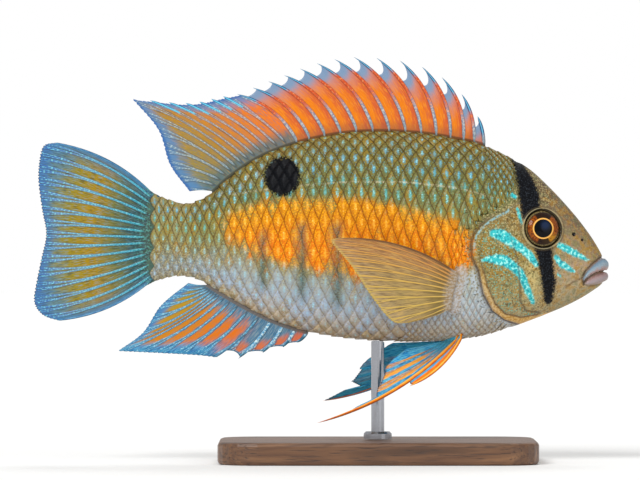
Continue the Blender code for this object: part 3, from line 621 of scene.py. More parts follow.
def lay_flesh(finish, uneven=0.0):
    """The fish's own colours, before scales: its sides from back to belly, and its head, darkened at the top
    partly by painted shade.
    """
    height = finish.field("height")
    mottle = finish.noise(2.6, 3.0)
    level = height + (mottle - 0.5) * 0.12
    side = finish.ramp(
        level,
        (0.0, 172, 144, 108), (0.06, 172, 158, 138), (0.16, 170, 174, 176),
        (0.36, 146, 142, 116), (0.5, 134, 130, 82), (0.74, 104, 110, 66),
        (0.93, 110, 102, 54), (1.0, 132, 104, 48),
    )
    # the head and the snout darken towards the top outline: partly the darker back, partly painted shade
    # where the forehead rounds away
    head = finish.ramp(
        level,
        (0.0, 150, 130, 96), (0.1, 176, 162, 122), (0.26, 152, 136, 84),
        (0.45, 138, 116, 58), (0.62, 132, 112, 66), (0.84, 122, 104, 70),
        (1.0, 84, 68, 48),
    )
    along = finish.along_body()
    snout = finish.ramp(
        level,
        (0.0, 140, 128, 92), (0.15, 176, 160, 128), (0.4, 178, 150, 124),
        (0.62, 158, 132, 108), (0.8, 138, 110, 88), (0.95, 104, 82, 64),
        (1.0, 84, 64, 50),
    )
    head = finish.mix(along.over(47.5, 54.5), head, snout)
    side = finish.mix(along.over(-12, -28) * height.over(0.6, 0.35) * 0.75, side, tint(112, 116, 92))
    side = finish.mix(along.over(-24, -34) * height.over(0.35, 0.6) * 0.45, side, tint(178, 162, 120))
    finish.colour = finish.mix(finish.field("bare").over(-0.6, 1.4), side, head)
    orange = finish.field("orange") + (finish.noise(0.9, 3.0) - 0.5) * 0.8 + uneven
    warm = finish.mix(height.over(0.42, 0.66), tint(234, 126, 0), tint(204, 134, 8))
    finish.lay(orange.over(0.05, 0.4) * 0.7, tint(152, 132, 54))
    finish.lay(orange.over(0.28, 0.9), warm)


def lay_marks(finish):
    """Lays the bright lines, the faint bars, the spot and the eye bar over the flesh."""
    ragged = finish.noise(0.5, 4.0, Roughness=0.7)
    flecks = finish.noise(0.3, 1.0)
    bars = finish.field("flank_bar") * (0.45 + ragged)
    dusk = finish.mix(flecks.over(0.4, 0.6), tint(50, 62, 48), tint(70, 104, 98))
    finish.lay(bars * 0.8, dusk)
    stroke = finish.field("stroke") + (ragged - 0.5) * 1.3
    sparks = finish.noise(0.62, 2.0)
    bright = finish.mix(sparks.over(0.52, 0.64) * 0.85, BRIGHT_LINE, tint(176, 250, 242))
    bright = finish.mix(sparks.over(0.46, 0.36) * 0.85, bright, tint(10, 132, 150))
    finish.lay(stroke.over(-0.25, 0.3) * 0.95, bright)
    dark = (finish.field("eye_bar") + (ragged - 0.5) * 3.0).over(-0.35, 0.45)
    dark = dark.or_more((finish.field("spot") + (ragged - 0.5) * 3.6).over(-0.3, 0.3))
    grit = flecks.over(0.5, 0.72) * (0.15 + finish.field("eye_bar").over(-1, 0) * 0.4)
    black = finish.mix(grit, BLACK_MARK, tint(60, 66, 74))
    finish.give(coat_weight=(1 - dark) * 0.2)
    finish.lay(dark, black)


def skin_finish():
    """Wet bare skin: fine speckles of gold, teal and brown over the flesh."""
    finish = Finish("wet_skin", roughness=0.45, coat_roughness=0.16, specular_ior_level=0.08)
    lay_flesh(finish)
    grain, fleck, patch = finish.noise(0.36, 3.0), finish.noise(0.5, 3.0), finish.noise(1.5, 3.0)
    cheek = finish.field("cover").over(0.3, 2.5) * finish.field("bare").over(0.5, 2)
    along = finish.along_body()
    calm = 1 - along.over(50, 56) * 0.6
    gold_flake, dark_flake, teal_flake = finish.flakes(0.4)
    finish.lay(cheek * patch.over(0.48, 0.6) * 0.6, tint(164, 122, 34))
    finish.lay(patch.over(0.5, 0.38) * 0.5, tint(106, 112, 74))
    finish.lay((dark_flake * 0.6 + grain).over(0.52, 0.8) * calm * 0.85, tint(80, 60, 34))
    finish.lay((gold_flake * 0.6 + fleck).over(0.54, 0.86) * calm * 0.55, tint(208, 192, 136))
    between = finish.field("bar_gap") * fleck.over(0.35, 0.55)
    finish.lay(between * 0.7, tint(214, 194, 130))
    teal = (teal_flake * 0.7 + patch * 0.8).over(0.62, 0.86)
    teal = teal * cheek * finish.field("cheek").over(0.5, -0.5)
    finish.lay(teal * 0.75, tint(96, 176, 158))
    silver = finish.field("bare").over(2.2, -0.2) * finish.field("height").over(0.5, 0.4)
    silver = silver * finish.field("orange").over(0.6, 0.2) * along.over(22, 27)
    finish.lay(silver * fleck.over(0.35, 0.55) * 0.8, tint(190, 204, 214))
    folds = finish.mix(fleck.over(0.4, 0.6), tint(176, 156, 134), tint(194, 192, 192))
    finish.lay(finish.field("pad").over(0.2, 0.7) * 0.75, folds)
    finish.lay(along.over(-35.5, -37.0) * 0.9, tint(60, 92, 82))
    cover, height = finish.field("cover"), finish.field("height")
    gilt = cover.over(-0.1, 0.2) * finish.field("inner").over(0.25, -0.1) * height.over(0.42, 0.3)
    gold = finish.mix(fleck.over(0.4, 0.6), tint(196, 142, 54), tint(228, 186, 108))
    finish.lay(gilt * (0.55 + height.over(0.22, 0.06) * 0.3), gold)
    pale = cover.near(0.5, 0.45) * height.over(0.42, 0.5)
    finish.lay(pale * fleck.over(0.36, 0.56) * 0.8, tint(136, 190, 200))
    orbit = finish.field("orbit")
    finish.lay(orbit.over(6.2, 4.7) * 0.35, tint(120, 104, 76))
    across_lip = finish.field("lip_share") + (fleck - 0.5) * 0.4
    # the upper lip: lighter lavender across its middle and dark at both edges, partly its own colours, partly
    # a painted highlight along the roll and painted shade at its edges
    lavender_lip_and_shading = finish.ramp(
        across_lip,
        (0.0, 122, 100, 94), (0.3, 112, 138, 156), (0.55, 142, 158, 168),
        (0.8, 160, 130, 124), (1.0, 104, 70, 62),
    )
    finish.lay(finish.field("upper_lip"), lavender_lip_and_shading)
    # the lower lip: dark at the mouth line and lighter across its middle, partly its own colours, partly
    # painted shade at the mouth and a painted highlight along the roll
    pink_lip_and_shading = finish.ramp(
        across_lip,
        (0.0, 120, 80, 72), (0.3, 162, 134, 134), (0.6, 152, 140, 144),
        (1.0, 146, 122, 98),
    )
    finish.lay(finish.field("lower_lip") * 0.95, pink_lip_and_shading)
    lay_marks(finish)
    # round the socket: a pale ring on the rim's crest is a painted highlight, and a darker ring on its outer
    # slope and the near-black socket wall inside the rim are painted shade
    finish.lay(orbit.near(4.58, 0.2) * 0.6, tint(196, 182, 138))
    finish.lay(orbit.near(4.95, 0.22) * 0.45, tint(92, 78, 54))
    finish.lay(orbit.over(4.42, 4.3) * 0.95, tint(50, 42, 28))
    # the dark lines in the head's grooves: partly joint lines, partly painted shade in the creases and the
    # mouth line
    finish.lay(finish.field("seam") * 0.9, tint(76, 54, 42))
    # the nostril pits painted near black: painted shade in the recesses
    finish.lay(finish.field("pit").over(0.3, 0.6), tint(26, 24, 26))
    finish.give(base_color=finish.colour)
    finish.bump(grain, 0.05)
    return finish.material


skin.data.materials.clear()
skin.data.materials.append(skin_finish())

# The scales are thin overlapping plates of horn, each rooted in the skin and free behind. They
# lie in slanting rows from the gills to the tail fin, tall and narrow where they show, and
# smaller on the nape, the breast and the tail. One piece holds the scales of each side.
ROW_HEIGHT = [(-40, 2.3), (-30, 2.55), (-15, 3.3), (8, 3.9), (45, 3.9)]
SCALE_LENGTH = [(-40, 1.95), (-30, 2.1), (-15, 2.5), (5, 2.73), (45, 2.7)]
SCALE_ROWS, ROWS_CROWD = 11, 0.065
BREAST_EDGE = [(39, 49), (33.8, 44.0), (31.0, 39.5), (27.5, 34.5), (22.0, 30.8), (16.0, 26.5)]
NAPE_EDGE = [(34.5, 54), (37, 58), (38.4, 62), (38.6, 67), (36.6, 74)]
SMALL_SIZE = 0.52
SCALES_FROM, SCALES_TO = -37.5, 47.0
SCALE_ACROSS, SCALE_BACK = 11, 4
SCALE_FRONT, SCALE_REAR = -1.15, 0.5
SCALE_SINK = 0.42
SCALE_CROWN = 0.06
TUCKED, TUCK_FROM, TUCK_TO = 0.45, -4.6, -3.4
SMALL_WITHIN, CLEAR_OF_PAD = 3.2, 1.1
SIZE_SPREAD, LIFT_SPREAD = (0.97, 1.07), 0.015
SCALE_THICKNESS = 0.08
PATCH = 0.003
GIRTH, GIRTH_STEPS = 125.0, 120


def girth_at(x):
    """Angles round the body from the back to the belly at each x, and the run over the skin."""
    angles = np.linspace(0, math.pi, GIRTH_STEPS + 1)
    ring = body_surface(x[:, None], angles[None, :])
    legs = np.linalg.norm(np.diff(ring, axis=1), axis=2)
    run = np.concatenate([np.zeros((len(x), 1)), np.cumsum(legs, axis=1)], axis=1)
    return angles, run, run[:, GIRTH_STEPS // 2]


def angle_at(x, height):
    """The angle of places that lie that far up the skin from the body's widest line."""
    angles, run, middle = girth_at(x)
    wanted = np.clip(middle - height, run[:, 0], run[:, -1])
    return np.array([np.interp(want, row, angles) for want, row in zip(wanted, run)])


def scale_places(size):
    """The x, height on the skin, share of full height and reach to the gills of one side's scales."""
    marks = [SCALES_FROM]
    while marks[-1] < SCALES_TO:
        marks.append(marks[-1] + size * float(curve(SCALE_LENGTH, marks[-1])))
    marks = np.array(marks)
    x, row = [], []
    last = math.ceil(SCALE_ROWS / size)
    for n in range(-last, last + 1):
        middles = (marks[:-1] + marks[1:]) / 2 if n % 2 else marks[:-1]
        x.append(middles)
        row.append(n * size + 0 * middles)
    x, row = np.concatenate(x), np.concatenate(row)
    height = curve(ROW_HEIGHT, x) * row * (1 - ROWS_CROWD * abs(row) / 2)
    tall = size * (1 - ROWS_CROWD * abs(row))
    _, run, middle = girth_at(x)
    on_body = (height < middle - 0.3) & (height > middle - run[:, -1] + 0.3)
    x, height, tall = x[on_body], height[on_body], tall[on_body]
    spots = body_surface(x, angle_at(x, height))
    edge, breast, nape, pad = (
        near_line(spots[:, 0], spots[:, 2], line)[0]
        for line in (SCALED_EDGE, BREAST_EDGE, NAPE_EDGE, FIN_PAD)
    )
    small = (breast > 0) | (nape < 0) | (edge > -SMALL_WITHIN)
    wanted = (edge < -0.7 * size - 0.5) & (small == (size < 1)) & (abs(pad) > CLEAR_OF_PAD)
    return np.stack([x, height, tall, edge])[:, wanted]


def scale_coat(name, side, seed):
    """All the scales of one side as one mesh, each a closed plate with its own coordinates."""
    dice = np.random.default_rng(seed)
    large, small = scale_places(1.0), scale_places(SMALL_SIZE)
    x, height, tall, edge = np.concatenate([large, small], axis=1)
    count = len(x)
    across = np.linspace(-1, 1, SCALE_ACROSS)[None, :, None]
    share = np.linspace(0, 1, SCALE_BACK)[None, None, :]
    rear = SCALE_REAR * (1 - abs(across) ** 1.5)
    front = SCALE_FRONT + 0.25 * across**2
    back = front + (rear - front) * share
    size = dice.uniform(*SIZE_SPREAD, (count, 1, 1))
    tall = (curve(ROW_HEIGHT, x) * tall)[:, None, None] * size
    size[len(large[0]):] *= SMALL_SIZE
    at_x = x[:, None, None] - back * curve(SCALE_LENGTH, x)[:, None, None] * size
    at_height = height[:, None, None] + across * tall * (1 + 0.1 * (1 - share))
    shape = at_height.shape
    flat_x, flat_height = at_x.ravel(), at_height.ravel()
    angle = angle_at(flat_x, flat_height)
    spots = body_surface(flat_x, angle)
    down = body_surface(flat_x, angle + 0.02) - body_surface(flat_x, angle - 0.02)
    ahead = body_surface(flat_x + 0.1, angle) - body_surface(flat_x - 0.1, angle)
    out = np.cross(ahead, down)
    out /= np.linalg.norm(out, axis=1)[:, None] + 1e-12
    rise = (back - SCALE_FRONT) / (SCALE_REAR - SCALE_FRONT)
    lift = SCALE_SINK * (rise - 1) * size**0.4 + SCALE_CROWN * (1 - across**2) * rise
    lift = lift + dice.uniform(-LIFT_SPREAD, LIFT_SPREAD, (count, 1, 1))
    dip = np.minimum(head_relief(spots * (1, side, 1)) + COAT_DEPTH, 0).reshape(shape)[:, SCALE_ACROSS // 2]
    rear_dip = dip[:, -1, None, None]
    front_dip = (dip.min(axis=1) - TUCKED * step(edge / size[:, 0, 0], TUCK_FROM, TUCK_TO))[:, None, None]
    lift = (lift + rear_dip + (front_dip - rear_dip) * (1 - share)).ravel()[:, None]
    upper = (spots + out * lift).reshape(count, -1, 3)
    rear_edge = np.arange(SCALE_ACROSS) * SCALE_BACK + SCALE_BACK - 1
    lower = upper[:, rear_edge] - (out * SCALE_THICKNESS).reshape(count, -1, 3)[:, rear_edge]
    points = np.concatenate([upper, lower], axis=1).reshape(-1, 3) * (1, side, 1)

    # a plate has a curved face, a thin free edge and one flat face below
    block = SCALE_ACROSS * SCALE_BACK
    size_each = block + SCALE_ACROSS
    plate = [face[::-1] for face in grid_faces(SCALE_ACROSS, SCALE_BACK)]
    upper_rim, lower_rim = rear_edge.tolist(), list(range(block, size_each))
    for n in range(SCALE_ACROSS - 1):
        plate.append((upper_rim[n], lower_rim[n], lower_rim[n + 1], upper_rim[n + 1]))
    front = [n * SCALE_BACK for n in range(SCALE_ACROSS)]
    plate.append(tuple(front[:1] + list(range(1, SCALE_BACK)) + lower_rim
                       + list(range(block - 1, block - SCALE_BACK, -1)) + front[:0:-1]))
    under = np.concatenate([np.full(len(face), n >= len(plate) - SCALE_ACROSS)
                            for n, face in enumerate(plate)])
    faces = [tuple(corner + n * size_each for corner in face) for n in range(count) for face in plate]
    coat = mesh_piece(name, points, faces)

    def with_edge(values):
        values = np.broadcast_to(values, shape).reshape(count, -1)
        return np.concatenate([values, values[:, rear_edge]], axis=1).ravel()

    places = spots.reshape(count, -1, 3)
    mark(coat, np.concatenate([places, places[:, rear_edge]], axis=1).reshape(-1, 3))
    for key, values in (("across", across), ("back", back), ("share", share)):
        set_field(coat, key, with_edge(values))
    for key in ("tone", "hue"):
        set_field(coat, key, with_edge(dice.uniform(0, 1, (count, 1, 1))))

    # each plate is a small patch at its root's place on the skin, unrolled from the back
    _, _, middle = girth_at(x)
    root_u = 0.01 + 0.98 * (x - TAIL_END) / (SNOUT_END - TAIL_END)
    root_v = 0.5 + side * (middle - height) / GIRTH
    patch_u = with_edge(root_u[:, None, None] + PATCH * (share - 0.5))
    patch_v = with_edge(root_v[:, None, None] + PATCH * across * 0.5)
    corners = np.empty(len(coat.data.loops), int)
    coat.data.loops.foreach_get("vertex_index", corners)
    spread = patch_u[corners] + np.tile(under, count) * PATCH * 1.1
    patches = coat.data.uv_layers.new(name="OFBake")
    patches.data.foreach_set("uv", np.stack([spread, patch_v[corners]], 1).ravel())
    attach(coat, "root")
    return coat


def scale_finish():
    """Horn over pigment: a dark free edge, a bright streak in the middle, and fine flecks."""
    finish = Finish("scales", roughness=0.42, coat_roughness=0.16, specular_ior_level=0.08)
    tone, hue, share = finish.field("tone"), finish.field("hue"), finish.field("share")
    lay_flesh(finish, (tone - 0.5) * 0.7)
    height, across, back = finish.field("height"), finish.field("across"), finish.field("back")
    orange, along = finish.field("orange"), finish.along_body()
    grain, fleck, dots = finish.noise(0.36, 3.0), finish.noise(0.55, 3.0), finish.cells(0.5).over(0.42, 0.1)
    gold_flake, dark_flake, cold_flake = finish.flakes(0.36)
    finish.lay(tone * 0.4, tint(180, 162, 110), "SOFT_LIGHT")
    dirt = finish.mix(orange.over(0.3, 0.6), tint(84, 66, 30), tint(196, 92, 0))
    finish.lay((dark_flake * 0.6 + grain).over(0.54, 0.86) * 0.6, dirt)
    light = finish.mix(height.over(0.3, 0.6), tint(198, 184, 124), tint(146, 142, 70))
    light = finish.mix(orange.over(0.3, 0.6), light, tint(252, 182, 24))
    finish.lay((gold_flake * 0.6 + fleck).over(0.54, 0.86) * 0.65, light)
    glint = finish.ramp(
        height + (hue - 0.5) * 0.1,
        (0.0, 192, 174, 148), (0.12, 162, 186, 216), (0.36, 154, 172, 162),
        (0.62, 104, 170, 140), (0.76, 66, 166, 164), (0.88, 66, 158, 196),
        (1.0, 116, 140, 112),
    )
    glint = finish.mix(orange.over(0.25, 0.6), glint, tint(255, 170, 24))
    low = (height + (hue - 0.5) * 0.12 + (fleck - 0.5) * 0.3).over(0.44, 0.16)
    low = low * (0.3 + along.over(-36, -16) * 0.7)
    finish.lay(low * orange.over(0.4, 0.1) * (0.25 + fleck.over(0.4, 0.6) * 0.5), glint)
    breast = low * orange.over(0.4, 0.1) * along.over(18, 32)
    finish.lay(breast * (0.2 + fleck.over(0.4, 0.6) * 0.35), tint(212, 214, 206))
    finish.lay(cold_flake.over(0.55, 0.8) * (1 - orange) * 0.45, glint)
    reach = ((back + 0.02) ** 2 * 36 + across**2 * 4.6) ** 0.5 + (grain - 0.5) * 1.6 + (fleck - 0.5) * 0.8
    streak = reach.over(1.05, 0.35)
    finish.lay(streak * (0.35 + hue * 0.5), glint)
    gleam = finish.mix(orange.over(0.3, 0.6), tint(166, 232, 238), tint(255, 216, 110))
    finish.lay((streak + dots * 0.5).over(0.8, 1.4) * (0.5 + tone * 0.4), gleam)
    pores = finish.field("pores").near(0.0, 0.42) * across.near(0.0, 0.9) * grain.over(0.42, 0.56)
    finish.lay(pores * 0.65, tint(214, 202, 170))
    line = finish.ramp(
        height,
        (0.0, 150, 120, 86), (0.3, 140, 116, 90), (0.5, 104, 78, 40),
        (1.0, 66, 52, 24),
    )
    line = finish.mix(orange.over(0.3, 0.7), line, tint(150, 78, 4))
    rim = (share + (grain - 0.5) * 0.08).over(0.91, 0.985)
    finish.lay(rim * (0.45 + height.over(0.25, 0.6) * 0.4), line)
    lay_marks(finish)
    finish.give(base_color=finish.colour)
    finish.bump(grain, 0.04)
    return finish.material


scales = [scale_coat("scales_right", -1, seed=11), scale_coat("scales_left", 1, seed=12)]
horn = scale_finish()
for coat in scales:
    coat.data.materials.append(horn)

# The eyes are glassy balls set in their sockets: a black pupil with a thin gold ring round it
# and a painted bluish reflection, an orange iris that is dark above and below, and a pale rim
# under a clear wet surface.
PUPIL, GOLD_RING, IRIS, IRIS_RIM = 2.06, 2.38, 3.6, 4.0
LENS_RISE = 0.16
SIDES = ((-1, "right"), (1, "left"))


def eye_finish():
    finish = Finish("eyes", roughness=0.1, coat_weight=0.2, coat_roughness=0.01, specular_ior_level=0.05)
    reach = finish.field("reach")
    fibre = finish.noise(0.4, 3.0)
    iris = finish.mix(fibre.over(0.35, 0.65), tint(92, 42, 10), tint(162, 84, 18))
    yellow = finish.field("low_side").over(0.1, 0.9) * fibre.over(0.2, 0.5)
    iris = finish.mix(yellow, iris, tint(186, 128, 22))
    wedge = (finish.field("wedge") + (fibre - 0.5) * 0.6).over(0.15, 0.6)
    iris = finish.mix(wedge * 0.95, iris, tint(18, 12, 8))
    iris = finish.mix(reach.over(3.1, 3.6) * 0.6, iris, tint(52, 30, 12))
    rim = finish.mix(fibre.over(0.35, 0.65), tint(80, 68, 40), tint(132, 114, 72))
    finish.colour = finish.mix(reach.over(IRIS - 0.05, IRIS + 0.05), iris, rim)
    finish.lay(reach.near(IRIS, 0.12) * 0.9, tint(26, 18, 10))
    finish.lay(reach.over(IRIS_RIM - 0.06, IRIS_RIM + 0.04), tint(26, 22, 14))
    finish.lay(reach.over(GOLD_RING + 0.04, GOLD_RING - 0.06), tint(246, 184, 92))
    # a painted bluish reflection in the upper front of the black pupil
    pupil_and_reflection = finish.mix(finish.field("high_front").over(0.1, 1.0), tint(2, 3, 6), tint(12, 34, 66))
    finish.lay(reach.over(PUPIL + 0.05, PUPIL - 0.05), pupil_and_reflection)
    finish.give(base_color=finish.colour)
    return finish.material


glass = eye_finish()
for side, name in SIDES:
    middle, out = eye_place(side)
    bpy.ops.mesh.primitive_uv_sphere_add(segments=96, ring_count=64, radius=1)
    eye = bpy.context.object
    eye.name = eye.data.name = "eyeball_" + name
    ball = points_of(eye) * MM
    lens = LENS_RISE * step(-np.hypot(ball[:, 0], ball[:, 1]), -0.62, -0.3) * (ball[:, 2] > 0)
    ball = ball * (EYE_RADIUS, EYE_RADIUS, EYE_DEPTH)
    ball[:, 2] += lens
    look = out.to_track_quat("Z", "Y").to_matrix()
    placed = ball @ np.array(look.transposed()) + np.array(middle + out * (EYE_BULGE - EYE_DEPTH))
    move_points(eye, placed)
    eye.data.shade_smooth()
    ahead, above = placed[:, 0] - EYE_X, placed[:, 2] - EYE_Z
    bearing = np.degrees(np.arctan2(above, ahead))
    set_field(eye, "reach", np.hypot(ahead, above))
    high, low = step(-abs(bearing - 88), -44, -18), step(-abs(bearing + 88), -36, -10)
    set_field(eye, "wedge", np.maximum(high, low))
    set_field(eye, "low_side", step(-above, 0.2, 2.8) * step(ahead, -1, 1))
    # where the pupil gets its painted reflection
    set_field(eye, "high_front", hump(np.hypot(ahead - 0.5, above - 0.8), 1.2))
    eye.data.materials.clear()
    eye.data.materials.append(glass)
    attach(eye, "root")
    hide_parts("eye_" + name)

# The tail fin is a fan of jointed rays that fork twice on their way out, with thin skin between
# them. Its rays spring from inside the scaled root, and its rear margin is finely frayed.
CAUDAL_LAST = 16
CAUDAL_BASE = [(0, -37.4, 60.3), (8, -38.6, 50.8), (16, -37.4, 41.6)]
CAUDAL_TIPS = [
    (0, -59.8, 72.3), (1, -62.6, 71.7), (2, -63.6, 69.2), (4, -64.0, 63.8), (6, -63.1, 57.0),
    (8, -62.2, 51.6), (10, -63.3, 46.0), (12, -64.6, 39.6), (13, -65.0, 36.6),
    (14, -64.2, 34.4), (15, -62.3, 32.8), (16, -59.2, 31.9),
]
CAUDAL_BOW = 0.085
CAUDAL_SWEEP, CAUDAL_RIPPLE = 1.3, 0.3
CAUDAL_LENGTH = 26
FIN_ROOT, SPINE_SIDES = 0.9, 12


def through(keys):
    """A function from a ray's number to its place in the side view, smooth through the keys."""
    across = [(ray, x) for ray, x, _ in keys]
    up = [(ray, z) for ray, _, z in keys]
    return lambda ray: np.stack([curve(across, ray), curve(up, ray)], -1)


class Fan:
    """A fin's rays as bowed lines in the side view, which place then sets out on the fish."""

    def __init__(self, base, tip, bow, place, inward, crowd=1.0):
        self.base, self.tip, self.bow, self.place = base, tip, bow, place
        self.inward, self.crowd = np.array(inward, float), crowd

    def at(self, ray, share):
        """Points at shares of a ray's length, and their distance from its base."""
        ray, share = np.broadcast_arrays(np.asarray(ray, float), share)
        base = self.base(ray)
        line = self.tip(ray) - base
        across = np.stack([-line[..., 1], line[..., 0]], -1) * self.bow(ray)[..., None]
        along = (share**self.crowd)[..., None]
        spot = base + line * along + across * 4 * along * (1 - along)
        run = np.linalg.norm(spot - base, axis=-1)
        return self.place(spot, base, run), run


def unit(vectors):
    return vectors / (np.linalg.norm(vectors, axis=-1, keepdims=True) + 1e-9)


def fin_skin(fan, rays, edge, rows=48, skin=0.13, ridge=(0.34, 0.2), forks=(0.3, 0.62), sheath=0.3):
    """The fin's two-sided sheet: thin skin that is thicker along the rays and their forks."""
    share = np.linspace(0, 1, rows)
    ray, along = np.meshgrid(rays, share, indexing="ij")
    middle, run = fan.at(ray, along * edge(rays)[:, None])
    off = abs(ray - np.round(ray))
    off = abs(off - 0.25 * step(along, forks[0], 1.2))
    off = abs(off - 0.125 * step(along, forks[1], 1.2))
    spacing = np.linalg.norm(np.gradient(middle, axis=0), axis=-1) / np.gradient(rays)[:, None]
    raised = hump(off * spacing, ridge[0] * (1 - 0.45 * along)) * step(run, -0.5, 3)
    half = skin + raised * ridge[1] * (1 - 0.6 * along) + sheath * hump(run, 0.9)
    half *= 1 - 0.55 * step(along, 0.85, 1)
    out = unit(np.cross(np.gradient(middle, axis=1), np.gradient(middle, axis=0)))
    root = middle[:, :1] + fan.inward * FIN_ROOT
    middle = np.concatenate([root, middle], axis=1)

    def with_root(values):
        return np.concatenate([values[:, :1], values], axis=1)

    offset = with_root(out) * with_root(half)[..., None]
    points = np.concatenate([(middle + offset).reshape(-1, 3), (middle - offset).reshape(-1, 3)])
    wide, tall = len(rays), rows + 1
    block = wide * tall
    face = np.array(grid_faces(wide, tall))
    rim = [n * tall for n in range(wide)] + [block - tall + n for n in range(1, tall)]
    rim += [n * tall - 1 for n in range(wide - 1, 0, -1)] + list(range(tall - 2, 0, -1))
    rim = np.array([(a, b, b + block, a + block) for a, b in zip(rim, rim[1:] + rim[:1])])
    faces = np.concatenate([face[:, ::-1], face + block, rim]).tolist()
    fields = {"ray": ray, "along": along, "run": run, "edge": run[:, -1:] - run, "ridge": raised}
    fields["spine"] = fields["aside"] = 0 * run
    fields = {key: np.tile(with_root(values).ravel(), 2) for key, values in fields.items()}
    fields["face"] = np.repeat([1.0, -1.0], block)
    return points, faces, fields


def fin_spine(fan, ray, width, thickness, start=0, steps=30, blunt=6):
    """A stiff spine as a tapering rod along a ray, with its foot sunk and its point closed."""
    share = np.linspace(0, 1, steps)
    along = start + (1 - start) * share
    middle, run = fan.at(ray, along)
    forward = unit(np.gradient(middle, axis=0))
    beside = fan.at(ray + 0.2, along)[0] - fan.at(ray - 0.2, along)[0]
    out = unit(np.cross(forward, beside))
    across = np.cross(out, forward)
    if start == 0:
        middle = np.concatenate([middle[:1] + fan.inward * FIN_ROOT, middle[1:]])
    taper = (1 - share**blunt) * (0.85 + 0.15 * step(share, 0, 0.1)) + 0.02
    turn = np.linspace(0, 2 * math.pi, SPINE_SIDES, endpoint=False)[None, :, None]
    ring = np.cos(turn) * across[:, None] * width + np.sin(turn) * out[:, None] * thickness
    points = (middle[:, None] + ring * taper[:, None, None]).reshape(-1, 3)
    faces = grid_faces(steps, SPINE_SIDES, closed=True)
    faces.append(tuple(range(SPINE_SIDES)))
    faces.append(tuple(range((steps - 1) * SPINE_SIDES, steps * SPINE_SIDES)))
    flat = np.ones((steps, SPINE_SIDES))
    fields = {"ray": ray * flat, "along": along[:, None] * flat, "run": run[:, None] * flat}
    fields["edge"] = (run[-1] - run)[:, None] * flat
    fields["ridge"] = fields["spine"] = flat
    fields["aside"], fields["face"] = np.cos(turn[..., 0]) * flat, np.sin(turn[..., 0]) * flat
    return points, faces, {key: values.ravel() for key, values in fields.items()}


def fin_piece(name, parts, finish, slot, *nodes):
    """One object from the sheet and spines of a fin, riding on the fish for its nodes."""
    points, faces, start = [], [], 0
    for spots, polygons, _ in parts:
        points.append(spots)
        faces += [tuple(n + start for n in polygon) for polygon in polygons]
        start += len(spots)
    fin = mesh_piece(name, np.concatenate(points), faces)
    for key in parts[0][2]:
        set_field(fin, key, np.concatenate([fields[key] for _, _, fields in parts]))
    fin.data.materials.append(finish)
    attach(fin, "root")
    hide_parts(*nodes)


class FinFinish(Finish):
    """A fin's finish, with its rays' readings and the fine streaks that run along them."""

    def __init__(self, name):
        super().__init__(name, roughness=0.4, coat_weight=0.05, specular_ior_level=0.15)
        for key in ("ray", "along", "run", "edge", "ridge", "spine", "aside"):
            setattr(self, key, self.field(key))
        self.streak = self.along_rays(7, 0.3)
        self.fine = self.along_rays(15, 0.55)
        self.bead = self.noise(1.0, at=self.vector(self.ray * 9 + self.aside * 0.9, self.run * 2.0))
        self.readings = self.run, self.ray, self.edge, self.streak, self.fine

    def along_rays(self, between, each_mm):
        """Noise drawn out along the rays, with so many lumps to a ray's gap and a millimetre."""
        return self.noise(1.0, at=self.vector(self.ray * between, self.run * each_mm))

    def lay_rays(self, ray, light, strength):
        """Lays beaded rays, with a fine dark line along each side, over the skin between them."""
        self.lay(self.ridge.near(0.3, 0.28) * 0.55, tint(52, 58, 62))
        beads = self.mix(self.bead.over(0.48, 0.62), ray, light)
        self.lay(self.ridge.over(0.35, 0.75) * strength, beads)

    def done(self):
        self.give(base_color=self.colour)
        self.bump(self.fine * 0.5 + self.streak * 0.5, 0.04)
        return self.material


def tail_finish():
    finish = FinFinish("tail_fin")
    run, ray, edge, streak, fine = finish.readings
    skin_colour = finish.ramp(
        (run + (streak - 0.5) * 9) / (CAUDAL_LENGTH + 1),
        (0.0, 64, 84, 66), (0.14, 42, 76, 80), (0.3, 108, 112, 60),
        (0.5, 162, 128, 4), (0.7, 146, 130, 30), (0.86, 96, 124, 126),
        (1.0, 68, 114, 158),
    )
    flank_ray = abs(ray - CAUDAL_LAST / 2)
    skin_colour = finish.mix(flank_ray.over(5.6, 7.8) * 0.8, skin_colour, tint(56, 106, 140))
    finish.colour = finish.mix(fine.over(0.52, 0.66) * 0.6, skin_colour, tint(52, 64, 56))
    finish.lay(fine.over(0.47, 0.33) * 0.5, tint(112, 160, 186))
    ray_colour = finish.ramp(
        run / CAUDAL_LENGTH,
        (0.0, 60, 140, 130), (0.2, 44, 158, 188), (0.55, 66, 154, 196),
        (0.8, 100, 134, 184), (1.0, 60, 108, 176),
    )
    finish.lay((edge + (fine - 0.5) * 4).over(3.0, 0.4) * 0.7, tint(66, 112, 166))
    finish.lay_rays(ray_colour, tint(126, 208, 226), 0.8)
    blue_edge = (flank_ray + (streak - 0.5) * 0.8).over(7.2, 7.9) * run.over(1.5, 4)
    blue = finish.mix(fine.over(0.4, 0.6), tint(36, 92, 146), tint(92, 154, 192))
    finish.lay(blue_edge * 0.85, blue)
    outline = flank_ray.over(7.9, 7.98).or_more(edge.over(0.22, 0.05))
    finish.lay(outline * 0.8, tint(30, 44, 62))
    dots = finish.noise(0.5, 2.0).over(0.5, 0.62) * run.over(5.5, 0.5)
    finish.lay(dots * 0.5, tint(96, 170, 156))
    return finish.done()


def in_caudal(spot, base, run):
    out = run / CAUDAL_LENGTH
    ripple = CAUDAL_RIPPLE * np.sin(spot[..., 1] * 0.42) * out
    return np.stack([spot[..., 0], CAUDAL_SWEEP * out**2 + ripple, spot[..., 1]], -1)


def frayed(rays, deep, forks=4):
    """A margin that is cut in a little between the branches of the rays."""
    return 1 - deep * abs(2 * ((rays * forks) % 1 - 0.5)) ** 0.7 * (0.6 + 0.4 * np.sin(rays * 17.3) ** 2)


